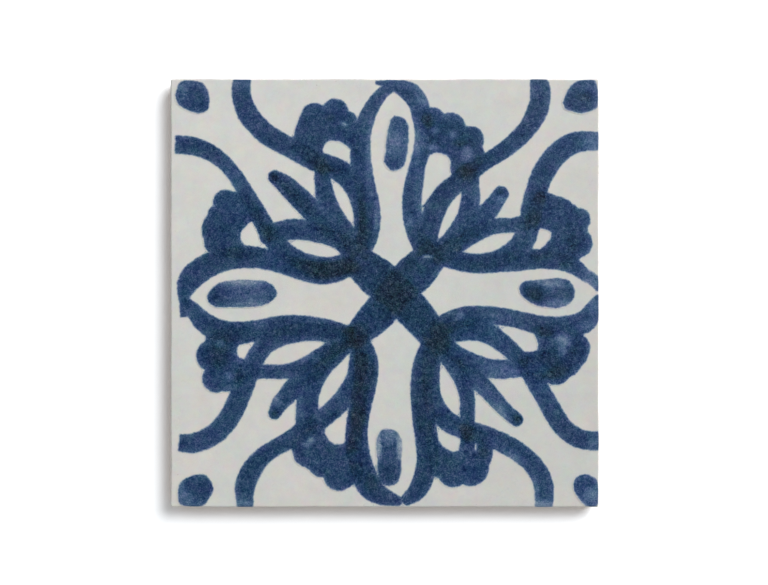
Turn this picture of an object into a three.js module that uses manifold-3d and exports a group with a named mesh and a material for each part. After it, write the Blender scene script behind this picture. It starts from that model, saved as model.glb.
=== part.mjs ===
// A square floor tile of fired clay: a pressed biscuit with a keyed back, a coat of white tin glaze over
// its face, and a four-petalled flower painted on the glaze in cobalt, brush stroke by brush stroke.
// Millimetres, +Z up. The tile lies on its back, with the origin under its middle.
import * as THREE from 'three';
import { mergeVertices } from 'three/addons/utils/BufferGeometryUtils.js';
import Module from 'manifold-3d';

const wasm = await Module();
wasm.setup();

// Tile
const tileSide = 200;
const tileThickness = 10; // from the bedding plane to the glazed face
const cornerRadius = 0.9; // seen from above
const leastCorner = 0.3; // what is left of that radius where the outline draws in
const cornerSteps = 3;

// Edges
const arrisRadius = 0.7; // the rounded edge of the face
const arrisSteps = 4;
const edgeDraft = 0.5; // the sides draw in towards the back, so that the tile leaves its mould
const backChamfer = 1;

// Glaze
const glazeThickness = 0.4;
const glazeRun = 2; // how far the coat runs down the sides below the arris

// Keyed back: square hollows that the mortar grips
const keyCount = 6; // along each side
const keyRim = 9; // plain border round the hollows
const keyRib = 5; // between two hollows
const keyDepth = 0.8;
const keyDraft = 0.5;
const keyCorner = 3;
const keyCornerSteps = 2;

// Brushwork
const filmThickness = 0.2; // the cobalt, as it lies on the glaze
const strokeGap = 0.3; // between two neighbouring strokes
const strokeOverrun = 0.5; // the longest strokes leave the face by this much
const strokeStep = 3.6; // outline points along a stroke
const blotStep = 3.2; // outline points round a blot
const tipSteps = 3; // for each quarter of a round tip
const discSteps = 28;
const bluntTip = 0.25; // a stroke's end as a share of its half width: nearly square
const roundTip = 1; // a half circle

// Strokes are [x, y, width] along the brush's way; blots are [x, y] round their edge; lobes are discs
// [x, y, radius]. All are drawn for the face seen from above, with the origin in its middle.
const crossStrokes = [
  [[-15.5, 18, 12.5], [-11.1, 13.5, 15.4], [-3, 6.9, 18.3], [5.3, 0.4, 15.6], [12.8, -7.8, 16.6],
    [21, -17.3, 14.5], [25.3, -21.6, 12.3]],
  [[-15.5, -21.5, 11.3], [-12.1, -18.6, 12.4], [-2.9, -9.5, 16], [5.4, 0.7, 15.2], [13.9, 9, 18.2],
    [20.6, 15.6, 15], [24.5, 20.5, 12.5]],
];

const petalStrokes = {
  petal_n_right: [[-4, 98.3, 1.6], [-1.8, 98.1, 2.6], [3, 97.9, 3.7], [7.6, 96, 7.2], [12.4, 93.3, 9.5],
    [15.8, 88.3, 9.3], [17.4, 81.5, 8.8], [18.1, 75, 8.2], [17.4, 67, 8], [15.5, 60, 7.6], [13.4, 50, 8.9],
    [12.7, 42, 9.2], [13.2, 34, 9], [15.1, 27, 8.8], [18.4, 19.5, 8.7]],
  petal_n_left: [[4.7, 97.3, 4.2], [0.5, 94.7, 5.4], [-3, 91.2, 6.1], [-7.1, 84.8, 7.3], [-10.2, 76, 8.2],
    [-11.2, 68, 9.3], [-11, 60, 9.8], [-9.1, 50, 9.5], [-7, 40, 9.7], [-7, 32, 10], [-8.5, 25, 9.7],
    [-12, 18, 9]],
  petal_e_upper: [[99.9, 1.6, 2.6], [97.9, 5.8, 5.7], [93.7, 8.4, 5.9], [89.5, 11.7, 7.2], [84.6, 14, 7.8],
    [78, 15.5, 8.8], [70, 15.9, 9.3], [62, 15.1, 9.9], [54, 14.4, 9.2], [46, 13.7, 9], [38, 14.3, 9],
    [31, 16.1, 9.2], [24.5, 18, 9]],
  petal_e_lower: [[99.9, -1.4, 2.8], [98.3, -4.6, 5.2], [96.3, -9.8, 9], [92.8, -13.7, 10.5],
    [86, -15.1, 9.5], [78, -15.6, 9.5], [70, -14.5, 8.9], [62, -12.4, 8.2], [54, -10.9, 8.4],
    [46, -10.3, 8.8], [38, -10.9, 9.4], [31, -13.1, 9.5], [24, -17.2, 9.1]],
  petal_s_left: [[7.6, -97.4, 4.2], [-1.9, -94.5, 8.9], [-7.4, -89.7, 11.7], [-10.4, -82, 11],
    [-12.5, -75, 11], [-13.2, -66, 10.5], [-12.1, -56, 10.3], [-9.9, -46, 10.7], [-8.5, -37, 11],
    [-9.1, -30, 11.1], [-12.3, -22, 10]],
  petal_s_right: [[8.9, -97.5, 4.8], [15.3, -92.2, 8.7], [18.3, -85.6, 9.5], [20.1, -78, 10.3],
    [19.8, -70, 10.7], [18.4, -60, 10.8], [17.4, -50, 10.6], [17.4, -41, 10.6], [18.9, -32, 10.4],
    [22.4, -23, 9.7]],
  petal_w_upper: [[-93.8, -10.8, 3.4], [-93.6, -4.5, 4.7], [-93.4, 0.3, 6.9], [-91, 6.2, 10.8],
    [-84.4, 11.8, 11.4], [-77, 15, 10.9], [-69, 16.4, 10.2], [-60, 16.4, 9.7], [-52, 15, 9.5],
    [-44, 12.6, 9.5], [-36, 10.1, 9.8], [-28, 9, 9.9], [-20.5, 10.8, 9.5], [-14, 14.6, 8.8]],
  petal_w_lower: [[-93.3, -3.8, 5], [-89.7, -7.6, 6.7], [-85.6, -12.5, 9.1], [-80.5, -16.1, 10],
    [-74, -17.9, 9.8], [-66, -18.1, 9.7], [-58, -17, 9.4], [-50, -15.5, 9.6], [-42, -15.1, 9.7],
    [-34, -15.7, 9.6], [-26, -17.1, 9.2], [-17, -19.8, 8.8]],
};

const scrollStrokes = {
  scroll_nw_top: [[-66.6, 100.5, 8.4], [-67.1, 95, 8.7], [-66.4, 90, 9.2], [-64.1, 84.1, 9.6],
    [-60.3, 79.1, 9.6], [-54.8, 73.9, 9.7], [-48, 70, 9.6], [-42, 66.8, 9.5], [-36, 63.4, 9.4],
    [-28.8, 60.3, 10], [-20.4, 56.7, 10.4], [-14.4, 49.8, 9.4], [-11, 41, 9], [-10, 32, 9], [-11.5, 22, 9]],
  scroll_nw_left: [[-96.9, 69.3, 8.6], [-92, 69, 8.8], [-86, 67.6, 8.3], [-80, 64.7, 7.6],
    [-74.5, 60.4, 7], [-70, 55, 6.9], [-66.4, 49.5, 7.2], [-62.8, 43.5, 7.6], [-58.8, 36.5, 8.2],
    [-55, 29.5, 8.6], [-50, 22.6, 9], [-43, 17, 8.6], [-34, 13.4, 8.8], [-25, 12.2, 9.4], [-16, 14.5, 9]],
  scroll_ne_top: [[71.6, 100.5, 7.4], [72.6, 95, 9.5], [72.5, 90, 9.7], [70.9, 84.2, 9.7], [67, 77.4, 8.7],
    [61.5, 71.4, 8.4], [54.2, 65.7, 7.8], [47.7, 61.7, 7.4], [42.7, 58.6, 8.4], [37.6, 55.2, 9],
    [32.5, 50.3, 8.8], [26.1, 43.6, 9.8], [22.2, 35.5, 10.4], [20.2, 28, 10], [20.6, 19, 9]],
  scroll_ne_right: [[100.5, 71, 8.4], [94, 71, 9.3], [88, 70, 10], [82.2, 66.5, 10.2], [77.1, 61, 10.4],
    [73.1, 54, 10.3], [70.7, 47, 10.2], [69, 40, 10.4], [67.3, 33, 9.5], [64.9, 25.8, 9.1],
    [59.6, 19.6, 9], [52, 15.4, 8.8], [43, 14, 8.8], [34.5, 15.2, 8.4], [26, 18, 8.4]],
  scroll_se_right: [[100.5, -69, 9.1], [94.5, -68.8, 9], [88.5, -66.8, 9.1], [83.1, -62.4, 8.9],
    [79.2, -56.7, 9.2], [75.4, -49.9, 8.9], [71.4, -43.1, 9], [67.9, -36.7, 9], [63.6, -31.4, 8.2],
    [58.5, -26.2, 8.1], [52.5, -21.5, 9], [45.6, -17.8, 9.9], [38, -17.3, 9.9], [30, -18.5, 9.4],
    [23, -20.5, 9]],
  scroll_se_bottom: [[74.2, -100.5, 8], [74.5, -95, 9], [74.2, -90, 9.3], [72.2, -84.3, 9.1],
    [67.8, -78.6, 9], [61.9, -73.9, 9.2], [55.9, -70.4, 9.3], [49.8, -67.6, 9.1], [43.8, -65.5, 9.2],
    [37.5, -63.6, 9.4], [30.7, -60.8, 9.5], [25.2, -55.4, 9.1], [22.1, -47.4, 8.2], [21.5, -38, 8.5],
    [22.2, -28, 8.8]],
  scroll_sw_bottom: [[-65.2, -100.5, 7.8], [-65.4, -95, 8.5], [-65.2, -90, 9.5], [-63.2, -84.7, 9.8],
    [-59.9, -79.4, 9], [-55.1, -74.8, 8.2], [-49.7, -71.5, 7.8], [-43.7, -68.2, 8.5], [-37.4, -64.3, 9.7],
    [-28.8, -58.3, 8.8], [-22, -52.3, 9.1], [-16.9, -45.9, 9.1], [-13.2, -38, 8.7], [-11.8, -29, 8.9]],
  scroll_sw_left: [[-95.2, -69.9, 8], [-90, -70.2, 9.2], [-84, -68.3, 9.5], [-78.3, -64.8, 9.6],
    [-73.7, -59.7, 9.8], [-70, -53.4, 9.8], [-67.1, -46.6, 9.9], [-64.8, -39.5, 10.4], [-61.3, -32, 8.8],
    [-56.5, -25.1, 8.8], [-50, -21, 8.8], [-42, -18.8, 8.8], [-34, -17.9, 8.8], [-25, -18.8, 9],
    [-16, -20.5, 8.6]],
};

const leafStrokes = {
  leaf_nw_top: [[-29.6, 58.5, 7.2], [-28.8, 52, 7.7], [-27.9, 45.9, 8.8], [-25.2, 40.2, 7.9],
    [-21.6, 34.7, 7.1], [-18, 29.2, 7.6], [-14.5, 22, 8]],
  leaf_nw_left: [[-54, 28.3, 8], [-48, 29.1, 9.3], [-41, 29.8, 9.9], [-34, 28.7, 9.4], [-27, 26.7, 8.4],
    [-20.4, 23.5, 7.4], [-14, 18, 8]],
  leaf_ne_top: [[40.6, 57, 8], [40, 50, 8.2], [40.2, 44, 9.1], [38.5, 37.3, 8.3], [34.9, 31, 7.8],
    [30.3, 24.8, 7.6], [24.5, 18.5, 8]],
  leaf_ne_right: [[66, 33, 7], [59, 31.7, 7], [52, 31.4, 7.3], [45.8, 29.3, 7.5], [39.8, 26, 7.6],
    [34, 22.2, 7.4], [27, 17.5, 8]],
  leaf_se_right: [[66, -34.8, 8], [60, -35.3, 8.6], [53, -35.6, 9], [46, -34.5, 9.1], [39.3, -31.6, 8.5],
    [33, -27.8, 7.6], [26, -22, 8]],
  leaf_se_bottom: [[38.7, -63, 6.6], [38.7, -55, 7], [38.4, -48, 7.3], [36.4, -41, 7.9],
    [32.8, -34.9, 7.8], [28.5, -28.8, 8], [23, -22, 8]],
  leaf_sw_bottom: [[-36.7, -63, 10], [-36.3, -55, 10.5], [-35.7, -48, 10.1], [-32.3, -40.8, 8.3],
    [-27.7, -34.4, 7.5], [-22.2, -28.4, 7.8], [-16, -22, 8]],
  leaf_sw_left: [[-62, -36.5, 7], [-55, -36.7, 6.8], [-48, -36.8, 6.8], [-41.6, -35.5, 7.2],
    [-35, -32.3, 7.2], [-28, -28.1, 7.5], [-21, -23.6, 8], [-15, -20.5, 8]],
};

const budStrokes = {
  bud_nw: [[-51.2, 54.1, 6.6], [-46.3, 50.6, 8.6], [-41.5, 46, 9.8], [-35.8, 40.3, 10.2], [-30, 34, 9.4],
    [-23, 27, 9], [-16, 20, 9]],
  bud_ne: [[54.3, 46.4, 7.3], [51.2, 41.8, 8.1], [47.4, 37.2, 9.3], [42.5, 31.7, 9], [36, 26, 8.4],
    [30, 20.5, 8.4], [24, 16, 8.4]],
  bud_se: [[61.5, -59.1, 6.5], [56.5, -54.8, 6.7], [51.6, -49.6, 7.4], [46.5, -43.9, 8.1],
    [40.8, -38.2, 9.2], [34, -31, 9.4], [27, -24, 9]],
  bud_sw: [[-51.3, -56, 6.2], [-49, -51.6, 7.7], [-45.2, -47.6, 8.6], [-41.8, -43.2, 9], [-36, -38.4, 9.2],
    [-28, -31.5, 9], [-20, -25, 9]],
};

// A cluster of lobes: its discs, the web that joins them to the strokes beside it, and the bare eye
// that the brush leaves in its middle.
const lobeClusters = {
  lobes_nw_top: {
    discs: [[-32.8, 82.5, 6.3], [-23.2, 84.5, 6.3]],
    web: [[-42.5, 73.2], [-39.9, 82], [-37.6, 84], [-28, 85.7], [-16.3, 84.9], [-13, 81.4], [-12, 70],
      [-16, 58], [-30, 57], [-42, 66]],
    eye: [[-28.8, 66.9], [-27.4, 70.2], [-24, 71.3], [-19.8, 70.2], [-16.4, 67.6], [-14, 65],
      [-14, 57], [-20, 57], [-26, 60]],
  },
  lobes_nw_left: {
    discs: [[-74.4, 42.5, 5.8], [-75.2, 29.6, 10.3]],
    web: [[-70, 47.4], [-79.4, 41], [-82, 39], [-84.6, 24.5], [-80.4, 18], [-66, 16], [-54, 20], [-56, 34],
      [-62, 44]],
    eye: [[-62.1, 33.3], [-64.6, 31.2], [-67, 28.6], [-67.3, 25.3], [-65.2, 22.5], [-60, 21.8],
      [-53.6, 20.7], [-57.9, 24], [-58.9, 27.6]],
  },
  lobes_ne_top: {
    discs: [[22.6, 80.9, 5.8], [30.6, 77, 7.3], [40.2, 71.8, 6.2]],
    web: [[18, 84], [28, 83.4], [38.2, 77.8], [46.6, 65.8], [44, 58], [36, 54], [26, 48], [17, 40],
      [16, 60], [17, 75]],
    eye: [[19.6, 62], [21.4, 64.8], [24.2, 65.6], [28.8, 64.4], [30.6, 61.5], [30.7, 57.5], [31.2, 54.9],
      [27.5, 52.5], [23, 48], [17.7, 40.8], [17.2, 46], [18.2, 54]],
  },
  lobes_ne_right: {
    discs: [[80.4, 35.2, 9.8], [90.7, 34.3, 5.4], [90.3, 23.4, 6.8]],
    web: [[76, 47], [89.3, 40.6], [95, 30.4], [90.8, 15.2], [84, 12], [70, 16], [66, 22], [66, 36],
      [70, 46]],
    eye: [[72.6, 30.2], [75.5, 29.7], [78, 28.2], [77.4, 25.5], [74.8, 22.6], [73, 20.8], [69, 20.5],
      [70.9, 25]],
  },
  lobes_se_right: {
    discs: [[88.9, -25.7, 7.1], [84.3, -29.8, 8.8], [80, -35.5, 7.4]],
    web: [[92.6, -18.6], [95.1, -29.3], [91.2, -35], [87.4, -38.9], [76.6, -42.2], [66, -36], [60, -26],
      [52, -15], [60, -12], [75, -14], [90, -14]],
    eye: [[53, -15.1], [57.5, -14.8], [63, -15.8], [68.9, -17.3], [70.3, -20.2], [71.7, -24],
      [71.2, -26.6], [65.2, -27.2], [61.3, -24.1], [57.3, -20]],
  },
  lobes_se_bottom: {
    discs: [[32, -83.2, 7.5], [40, -81.3, 8.8]],
    web: [[23.8, -86], [36.5, -88.4], [45.8, -84.8], [50.7, -74], [46, -65], [36, -61], [26, -56],
      [20, -62], [20, -78]],
    eye: [[23.6, -60], [24.5, -67], [27.1, -71.4], [31.6, -74.1], [34.4, -73.3], [35.2, -70.5], [35, -67],
      [32, -62], [28, -57]],
  },
  lobes_sw_bottom: {
    discs: [[-36, -74.3, 7], [-29.5, -80, 6.1], [-21.2, -84.6, 7.7]],
    web: [[-43.7, -72.7], [-37.9, -80.8], [-27.4, -86.2], [-15, -89.5], [-10, -84], [-12, -60], [-20, -54],
      [-30, -60], [-40, -66]],
    eye: [[-16.4, -54], [-16.9, -61], [-17.9, -68], [-20, -70.4], [-23.6, -70.4], [-26.5, -68],
      [-28, -64.2], [-25, -60.8], [-20.6, -57.6]],
  },
  lobes_sw_left: {
    discs: [[-80.4, -29.2, 7.6], [-78.4, -39.6, 6.9]],
    web: [[-83.6, -20], [-84.2, -35.4], [-78, -44.8], [-72.2, -45.7], [-66, -42], [-62, -34], [-56, -24],
      [-62, -17], [-74, -16], [-82, -18]],
    eye: [[-69.1, -27], [-67.7, -24.3], [-65, -23.6], [-60.9, -23], [-63, -26.4], [-65.4, -30.9],
      [-67.9, -30.2]],
  },
};

const petalDabs = {
  dab_n: [[4.8, 82.8], [2.7, 81], [1.8, 77], [0.8, 72.4], [0.3, 66], [-0.3, 61.3], [2.2, 57.8],
    [5.6, 57.2], [8.9, 59.3], [10.2, 64], [11, 70], [10.9, 78.8], [8.5, 81.8]],
  dab_e: [[62.7, 2.3], [64.5, 5.1], [68, 5.9], [74, 6.3], [81, 7], [86.2, 5.8], [88.5, 2.2], [88.6, -1.8],
    [86.4, -5], [82, -6.8], [76, -6.7], [70.3, -5.5], [65.7, -2.7], [63.3, 0]],
  dab_s: [[1.8, -63.3], [-1.5, -64.1], [-3.5, -67.5], [-3.9, -73], [-3.4, -78.3], [-3.4, -83],
    [-1.8, -88.2], [1.8, -90.2], [6.1, -88.4], [7.7, -83], [7.6, -78], [8.1, -71], [7.1, -66.6], [4.6, -64]],
  dab_w: [[-82.7, -0.8], [-80.6, 2.2], [-77.4, 4.7], [-71, 6], [-63, 6.1], [-55.5, 5.5], [-51.9, 3.1],
    [-50.3, 0], [-52.3, -3.5], [-57, -5.8], [-64, -6.6], [-72, -6.6], [-79, -6.5], [-82.4, -4]],
};

const cornerDots = {
  corner_dot_nw: [[-95, 99], [-89.7, 99.2], [-85.5, 98.3], [-82.7, 94.8], [-81.9, 89.2], [-82.9, 85.3],
    [-87, 84.1], [-91, 85], [-95.2, 87.1], [-97.4, 90], [-97.4, 94.5]],
  corner_dot_ne: [[83.1, 88.8], [85.1, 93.8], [88, 98], [91.8, 99.5], [98, 99.4], [99.5, 95.5], [99.8, 90],
    [98.9, 86.3], [95, 84.6], [91.5, 83.8], [87.2, 85], [84, 86.2]],
  corner_dot_se: [[88.1, -89.3], [89.5, -86], [93.6, -84.6], [98, -86.2], [99.7, -89], [99.9, -96],
    [98.8, -99.8], [93.9, -99.3], [91, -96.3], [88.8, -92.8]],
  corner_dot_sw: [[-96.5, -91.5], [-94.7, -87.7], [-90.6, -85.5], [-84.6, -84.6], [-81.6, -87.4],
    [-79.9, -91.2], [-82, -95.9], [-85.3, -99.5], [-91, -99.9], [-95.6, -98.4], [-96.5, -95]],
};

// Materials
const biscuitClay = new THREE.MeshStandardMaterial({ color: 0xc9a688, roughness: 0.9, metalness: 0 });
const tinGlaze = new THREE.MeshStandardMaterial({ color: 0xcbc8c3, roughness: 0.3, metalness: 0 });
const cobalt = new THREE.MeshStandardMaterial({ color: 0x31466a, roughness: 0.35, metalness: 0 });
const darkCobalt = new THREE.MeshStandardMaterial({ color: 0x232f45, roughness: 0.35, metalness: 0 });
const paleCobalt = new THREE.MeshStandardMaterial({ color: 0x486488, roughness: 0.35, metalness: 0 });

// A closed three.js geometry as a solid that can be cut and joined, and back.
function solidOf(geometry) {
  const bare = geometry.clone();
  bare.deleteAttribute('normal');
  bare.deleteAttribute('uv');
  const welded = mergeVertices(bare);
  const vertProperties = new Float32Array(welded.attributes.position.array);
  const triVerts = new Uint32Array(welded.index.array);
  return new wasm.Manifold(new wasm.Mesh({ numProp: 3, vertProperties, triVerts }));
}

function geometryOf(solid) {
  const { vertProperties, triVerts } = solid.getMesh();
  const geometry = new THREE.BufferGeometry();
  geometry.setAttribute('position', new THREE.BufferAttribute(vertProperties, 3));
  geometry.setIndex(new THREE.BufferAttribute(triVerts, 1));
  geometry.computeVertexNormals();
  return geometry;
}

// The largest of the pieces that a cut has left.
function largestOf(solid) {
  const pieces = solid.decompose();
  return pieces.reduce((best, piece) => (piece.volume() > best.volume() ? piece : best));
}

// A level outline of a square with rounded corners, at height z.
function squareRing(centreX, centreY, halfSide, radius, steps, z) {
  const reach = halfSide - radius;
  const points = [];
  for (let corner = 0; corner < 4; corner += 1) {
    const middle = (corner + 0.5) * (Math.PI / 2);
    const x = centreX + reach * Math.sign(Math.cos(middle));
    const y = centreY + reach * Math.sign(Math.sin(middle));
    for (let step = 0; step <= steps; step += 1) {
      const angle = (corner + step / steps) * (Math.PI / 2);
      points.push(new THREE.Vector3(x + radius * Math.cos(angle), y + radius * Math.sin(angle), z));
    }
  }
  return points;
}

// A solid through a run of such outlines, closed by the first and the last.
function loft(rings) {
  const count = rings[0].length;
  const index = [];
  for (let level = 0; level + 1 < rings.length; level += 1) {
    for (let i = 0; i < count; i += 1) {
      const a = level * count + i;
      const b = level * count + ((i + 1) % count);
      index.push(a, b, b + count, a, b + count, a + count);
    }
  }
  const lastRing = (rings.length - 1) * count;
  for (const [a, b, c] of THREE.ShapeUtils.triangulateShape(rings[0], [])) {
    index.push(a, c, b);
  }
  for (const [a, b, c] of THREE.ShapeUtils.triangulateShape(rings.at(-1), [])) {
    index.push(lastRing + a, lastRing + b, lastRing + c);
  }
  const geometry = new THREE.BufferGeometry().setFromPoints(rings.flat());
  geometry.setIndex(index);
  geometry.computeVertexNormals();
  return geometry;
}

// The tile's outline, drawn in by inset, at height z.
function tileRing([inset, z]) {
  const radius = Math.max(cornerRadius - inset, leastCorner);
  return squareRing(0, 0, tileSide / 2 - inset, radius, cornerSteps, z);
}

// Profiles are [inset, z] pairs. The arris of the glaze and that of the biscuit share one centre line.
const arrisFoot = tileThickness - arrisRadius;
const glazeFoot = arrisFoot - glazeRun;

function arrisProfile(coat) {
  const radius = arrisRadius - coat;
  return Array.from({ length: arrisSteps + 1 }, (_, step) => {
    const turn = (step / arrisSteps) * (Math.PI / 2);
    return [arrisRadius - radius * Math.cos(turn), arrisFoot + radius * Math.sin(turn)];
  });
}

function sideInset(z) {
  return glazeThickness + edgeDraft * (1 - z / arrisFoot);
}

const biscuitTop = [[sideInset(glazeFoot), glazeFoot], ...arrisProfile(glazeThickness)];
const biscuitProfile = [
  [sideInset(0) + backChamfer, 0],
  [sideInset(backChamfer), backChamfer],
  ...biscuitTop,
];
const glazeOuter = [[sideInset(glazeFoot) - glazeThickness, glazeFoot], ...arrisProfile(0)];

// Biscuit: the pressed body, with rows of hollows in its back.
function biscuitBody() {
  const body = solidOf(loft(biscuitProfile.map(tileRing)));
  const field = tileSide - 2 * (sideInset(0) + backChamfer + keyRim);
  const keySide = (field - (keyCount - 1) * keyRib) / keyCount;
  const pitch = keySide + keyRib;
  const hollows = [];
  for (let row = 0; row < keyCount; row += 1) {
    for (let column = 0; column < keyCount; column += 1) {
      const x = (column - (keyCount - 1) / 2) * pitch;
      const y = (row - (keyCount - 1) / 2) * pitch;
      const mouth = squareRing(x, y, keySide / 2 + keyDraft, keyCorner, keyCornerSteps, -keyDepth);
      const floor = squareRing(x, y, keySide / 2 - keyDraft, keyCorner, keyCornerSteps, keyDepth);
      hollows.push(solidOf(loft([mouth, floor])));
    }
  }
  return geometryOf(hollows.reduce((rest, hollow) => rest.subtract(hollow), body));
}

// Glaze: a shell over the face, the arris and the top of the sides.
function glazeCoat() {
  const inner = [...biscuitTop].reverse();
  return loft([...inner, ...glazeOuter].map(tileRing));
}

// The drawing is fitted to the face: its outermost point lies strokeOverrun past the edge.
const strokes = [...crossStrokes, ...[petalStrokes, scrollStrokes, leafStrokes, budStrokes]
  .flatMap((family) => Object.values(family))];
const drawnReach = Math.max(...strokes.flat().map(([x, y]) => Math.max(Math.abs(x), Math.abs(y))));
const drawnScale = (tileSide / 2 + strokeOverrun) / drawnReach;

// The outline of a brush stroke, as wide as the brush was pressed at each point of its way. Its first
// end is the tip, and grow widens the stroke all round.
function strokeOutline(path, tip, grow = 0) {
  const way = new THREE.CatmullRomCurve3(
    path.map((point) => new THREE.Vector3(...point).multiplyScalar(drawnScale)), false, 'centripetal');
  const steps = Math.ceil(way.getLength() / strokeStep);
  const left = [];
  const right = [];
  for (let step = 0; step <= steps; step += 1) {
    const at = way.getPointAt(step / steps);
    const along = way.getTangentAt(step / steps);
    const side = new THREE.Vector2(-along.y, along.x).setLength(at.z / 2 + grow);
    left.push(new THREE.Vector2(at.x, at.y).add(side));
    right.push(new THREE.Vector2(at.x, at.y).sub(side));
  }
  const end = (from, to, depth) => {
    const middle = from.clone().add(to).divideScalar(2);
    const across = from.clone().sub(middle);
    const out = new THREE.Vector2(across.y, -across.x).multiplyScalar(depth);
    return Array.from({ length: 2 * tipSteps - 1 }, (_, i) => {
      const angle = ((i + 1) / (2 * tipSteps)) * Math.PI;
      return middle.clone().addScaledVector(across, Math.cos(angle)).addScaledVector(out, Math.sin(angle));
    });
  };
  return [...right, ...end(right.at(-1), left.at(-1), -bluntTip), ...left.reverse(),
    ...end(left.at(-1), right[0], -tip)];
}

// The outline of a blot, through its edge points, pushed out by grow.
function blotOutline(edge, grow = 0) {
  const rim = new THREE.CatmullRomCurve3(
    edge.map(([x, y]) => new THREE.Vector3(x, y, 0).multiplyScalar(drawnScale)), true, 'centripetal');
  const points = rim.getSpacedPoints(Math.ceil(rim.getLength() / blotStep)).slice(0, -1);
  const outline = points.map(({ x, y }) => new THREE.Vector2(x, y));
  const turn = THREE.ShapeUtils.isClockWise(outline) ? -1 : 1;
  return outline.map((point, i) => {
    const along = outline[(i + 1) % outline.length].clone().sub(outline.at(i - 1)).normalize();
    return new THREE.Vector2(point.x + turn * along.y * grow, point.y - turn * along.x * grow);
  });
}

function discOutline([x, y, radius], grow = 0) {
  const circle = new THREE.EllipseCurve(x * drawnScale, y * drawnScale, radius * drawnScale + grow,
    radius * drawnScale + grow);
  return circle.getPoints(discSteps).slice(0, -1);
}

// A flat film inside an outline. A cutter is the same, taller both ways than the films that it trims.
function filmOf(outline, low, high) {
  const geometry = new THREE.ExtrudeGeometry(new THREE.Shape(outline),
    { depth: high - low, bevelEnabled: false });
  return solidOf(geometry.translate(0, 0, low));
}

const face = tileThickness;
const paintOf = (outline) => filmOf(outline, face, face + filmThickness);
const cutterOf = (outline) => filmOf(outline, face - filmThickness, face + 2 * filmThickness);

const join = (solids) => solids.reduce((all, solid) => all.add(solid));

// A motif has its paint and the cutter that keeps later strokes off it.
function strokeMotif(paths, tip) {
  return {
    paint: join(paths.map((path) => paintOf(strokeOutline(path, tip)))),
    cutter: join(paths.map((path) => cutterOf(strokeOutline(path, tip, strokeGap)))),
  };
}

function blotMotif(edge) {
  return { paint: paintOf(blotOutline(edge)), cutter: cutterOf(blotOutline(edge, strokeGap)) };
}

function lobeMotif({ discs, web, eye }) {
  const paint = join([paintOf(blotOutline(web)), ...discs.map((disc) => paintOf(discOutline(disc)))]);
  const cutter = join([cutterOf(blotOutline(web, strokeGap)),
    ...discs.map((disc) => cutterOf(discOutline(disc, strokeGap)))]);
  return { paint: paint.subtract(cutterOf(blotOutline(eye))), cutter };
}

// Assembly
const tile = new THREE.Group();

function addPiece(name, geometry, material) {
  const mesh = new THREE.Mesh(geometry, material);
  mesh.name = name;
  tile.add(mesh);
}

addPiece('biscuit_body', biscuitBody(), biscuitClay);
addPiece('white_glaze', glazeCoat(), tinGlaze);

// Each motif is trimmed by the flat of the face and by the motifs painted before it, so that the
// cobalt lies in one layer.
const flatFace = cutterOf(squareRing(0, 0, tileSide / 2 - arrisRadius, leastCorner, cornerSteps, 0)
  .map(({ x, y }) => new THREE.Vector2(x, y)));
let painted = null;

function addMotif(name, { paint, cutter }, material) {
  const onFace = paint.intersect(flatFace);
  const film = painted ? onFace.subtract(painted) : onFace;
  addPiece(name, geometryOf(largestOf(film)), material);
  painted = painted ? painted.add(cutter) : cutter;
}

addMotif('centre_cross', strokeMotif(crossStrokes, bluntTip), darkCobalt);
const brushwork = [
  [petalStrokes, (path) => strokeMotif([path], bluntTip), cobalt],
  [scrollStrokes, (path) => strokeMotif([path], bluntTip), cobalt],
  [leafStrokes, (path) => strokeMotif([path], bluntTip), cobalt],
  [budStrokes, (path) => strokeMotif([path], roundTip), cobalt],
  [lobeClusters, lobeMotif, cobalt],
  [petalDabs, blotMotif, paleCobalt],
  [cornerDots, blotMotif, cobalt],
];
for (const [motifs, motifOf, material] of brushwork) {
  for (const [name, shape] of Object.entries(motifs)) {
    addMotif(name, motifOf(shape), material);
  }
}

export default tile;
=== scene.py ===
# %% [markdown]
# # A hand-painted floor tile
#
# The tile is a slab of fired clay under a coat of white tin glaze, on which a painter has set down a
# four-petalled flower in cobalt, one brush stroke after another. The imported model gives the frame: the
# clay body, the glaze and every stroke as a solid of its own. This lesson keeps the clay body, and
# makes the glaze and the strokes again as fine surfaces, with the softness and the grain of cobalt
# that has sunk into a fired glaze.

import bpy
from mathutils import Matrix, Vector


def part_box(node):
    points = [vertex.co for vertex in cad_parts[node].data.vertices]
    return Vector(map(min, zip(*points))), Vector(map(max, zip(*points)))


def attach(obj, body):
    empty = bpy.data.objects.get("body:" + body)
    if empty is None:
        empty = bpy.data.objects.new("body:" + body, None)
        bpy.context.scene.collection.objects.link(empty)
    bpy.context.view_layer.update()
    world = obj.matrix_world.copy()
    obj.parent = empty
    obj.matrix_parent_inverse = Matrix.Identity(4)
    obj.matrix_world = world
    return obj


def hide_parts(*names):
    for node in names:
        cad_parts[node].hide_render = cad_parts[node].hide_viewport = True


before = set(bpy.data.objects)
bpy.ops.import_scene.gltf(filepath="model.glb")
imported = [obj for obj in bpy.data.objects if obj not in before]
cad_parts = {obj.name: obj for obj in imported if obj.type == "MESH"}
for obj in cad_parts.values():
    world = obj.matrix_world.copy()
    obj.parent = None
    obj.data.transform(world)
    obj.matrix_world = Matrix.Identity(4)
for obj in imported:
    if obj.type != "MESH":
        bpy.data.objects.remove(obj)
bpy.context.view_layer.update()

import bmesh
import bpy
import numpy as np

print("solids in the frame:", len(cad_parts))

# %% [markdown]
# ## Sizes
#
# A tile maker thinks in millimetres and Blender in metres, so the drawing below is in millimetres and
# is turned into metres at the very end. The face's size and height are read from the frame, so that
# whatever is laid on the tile sits where the solids say.

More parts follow.
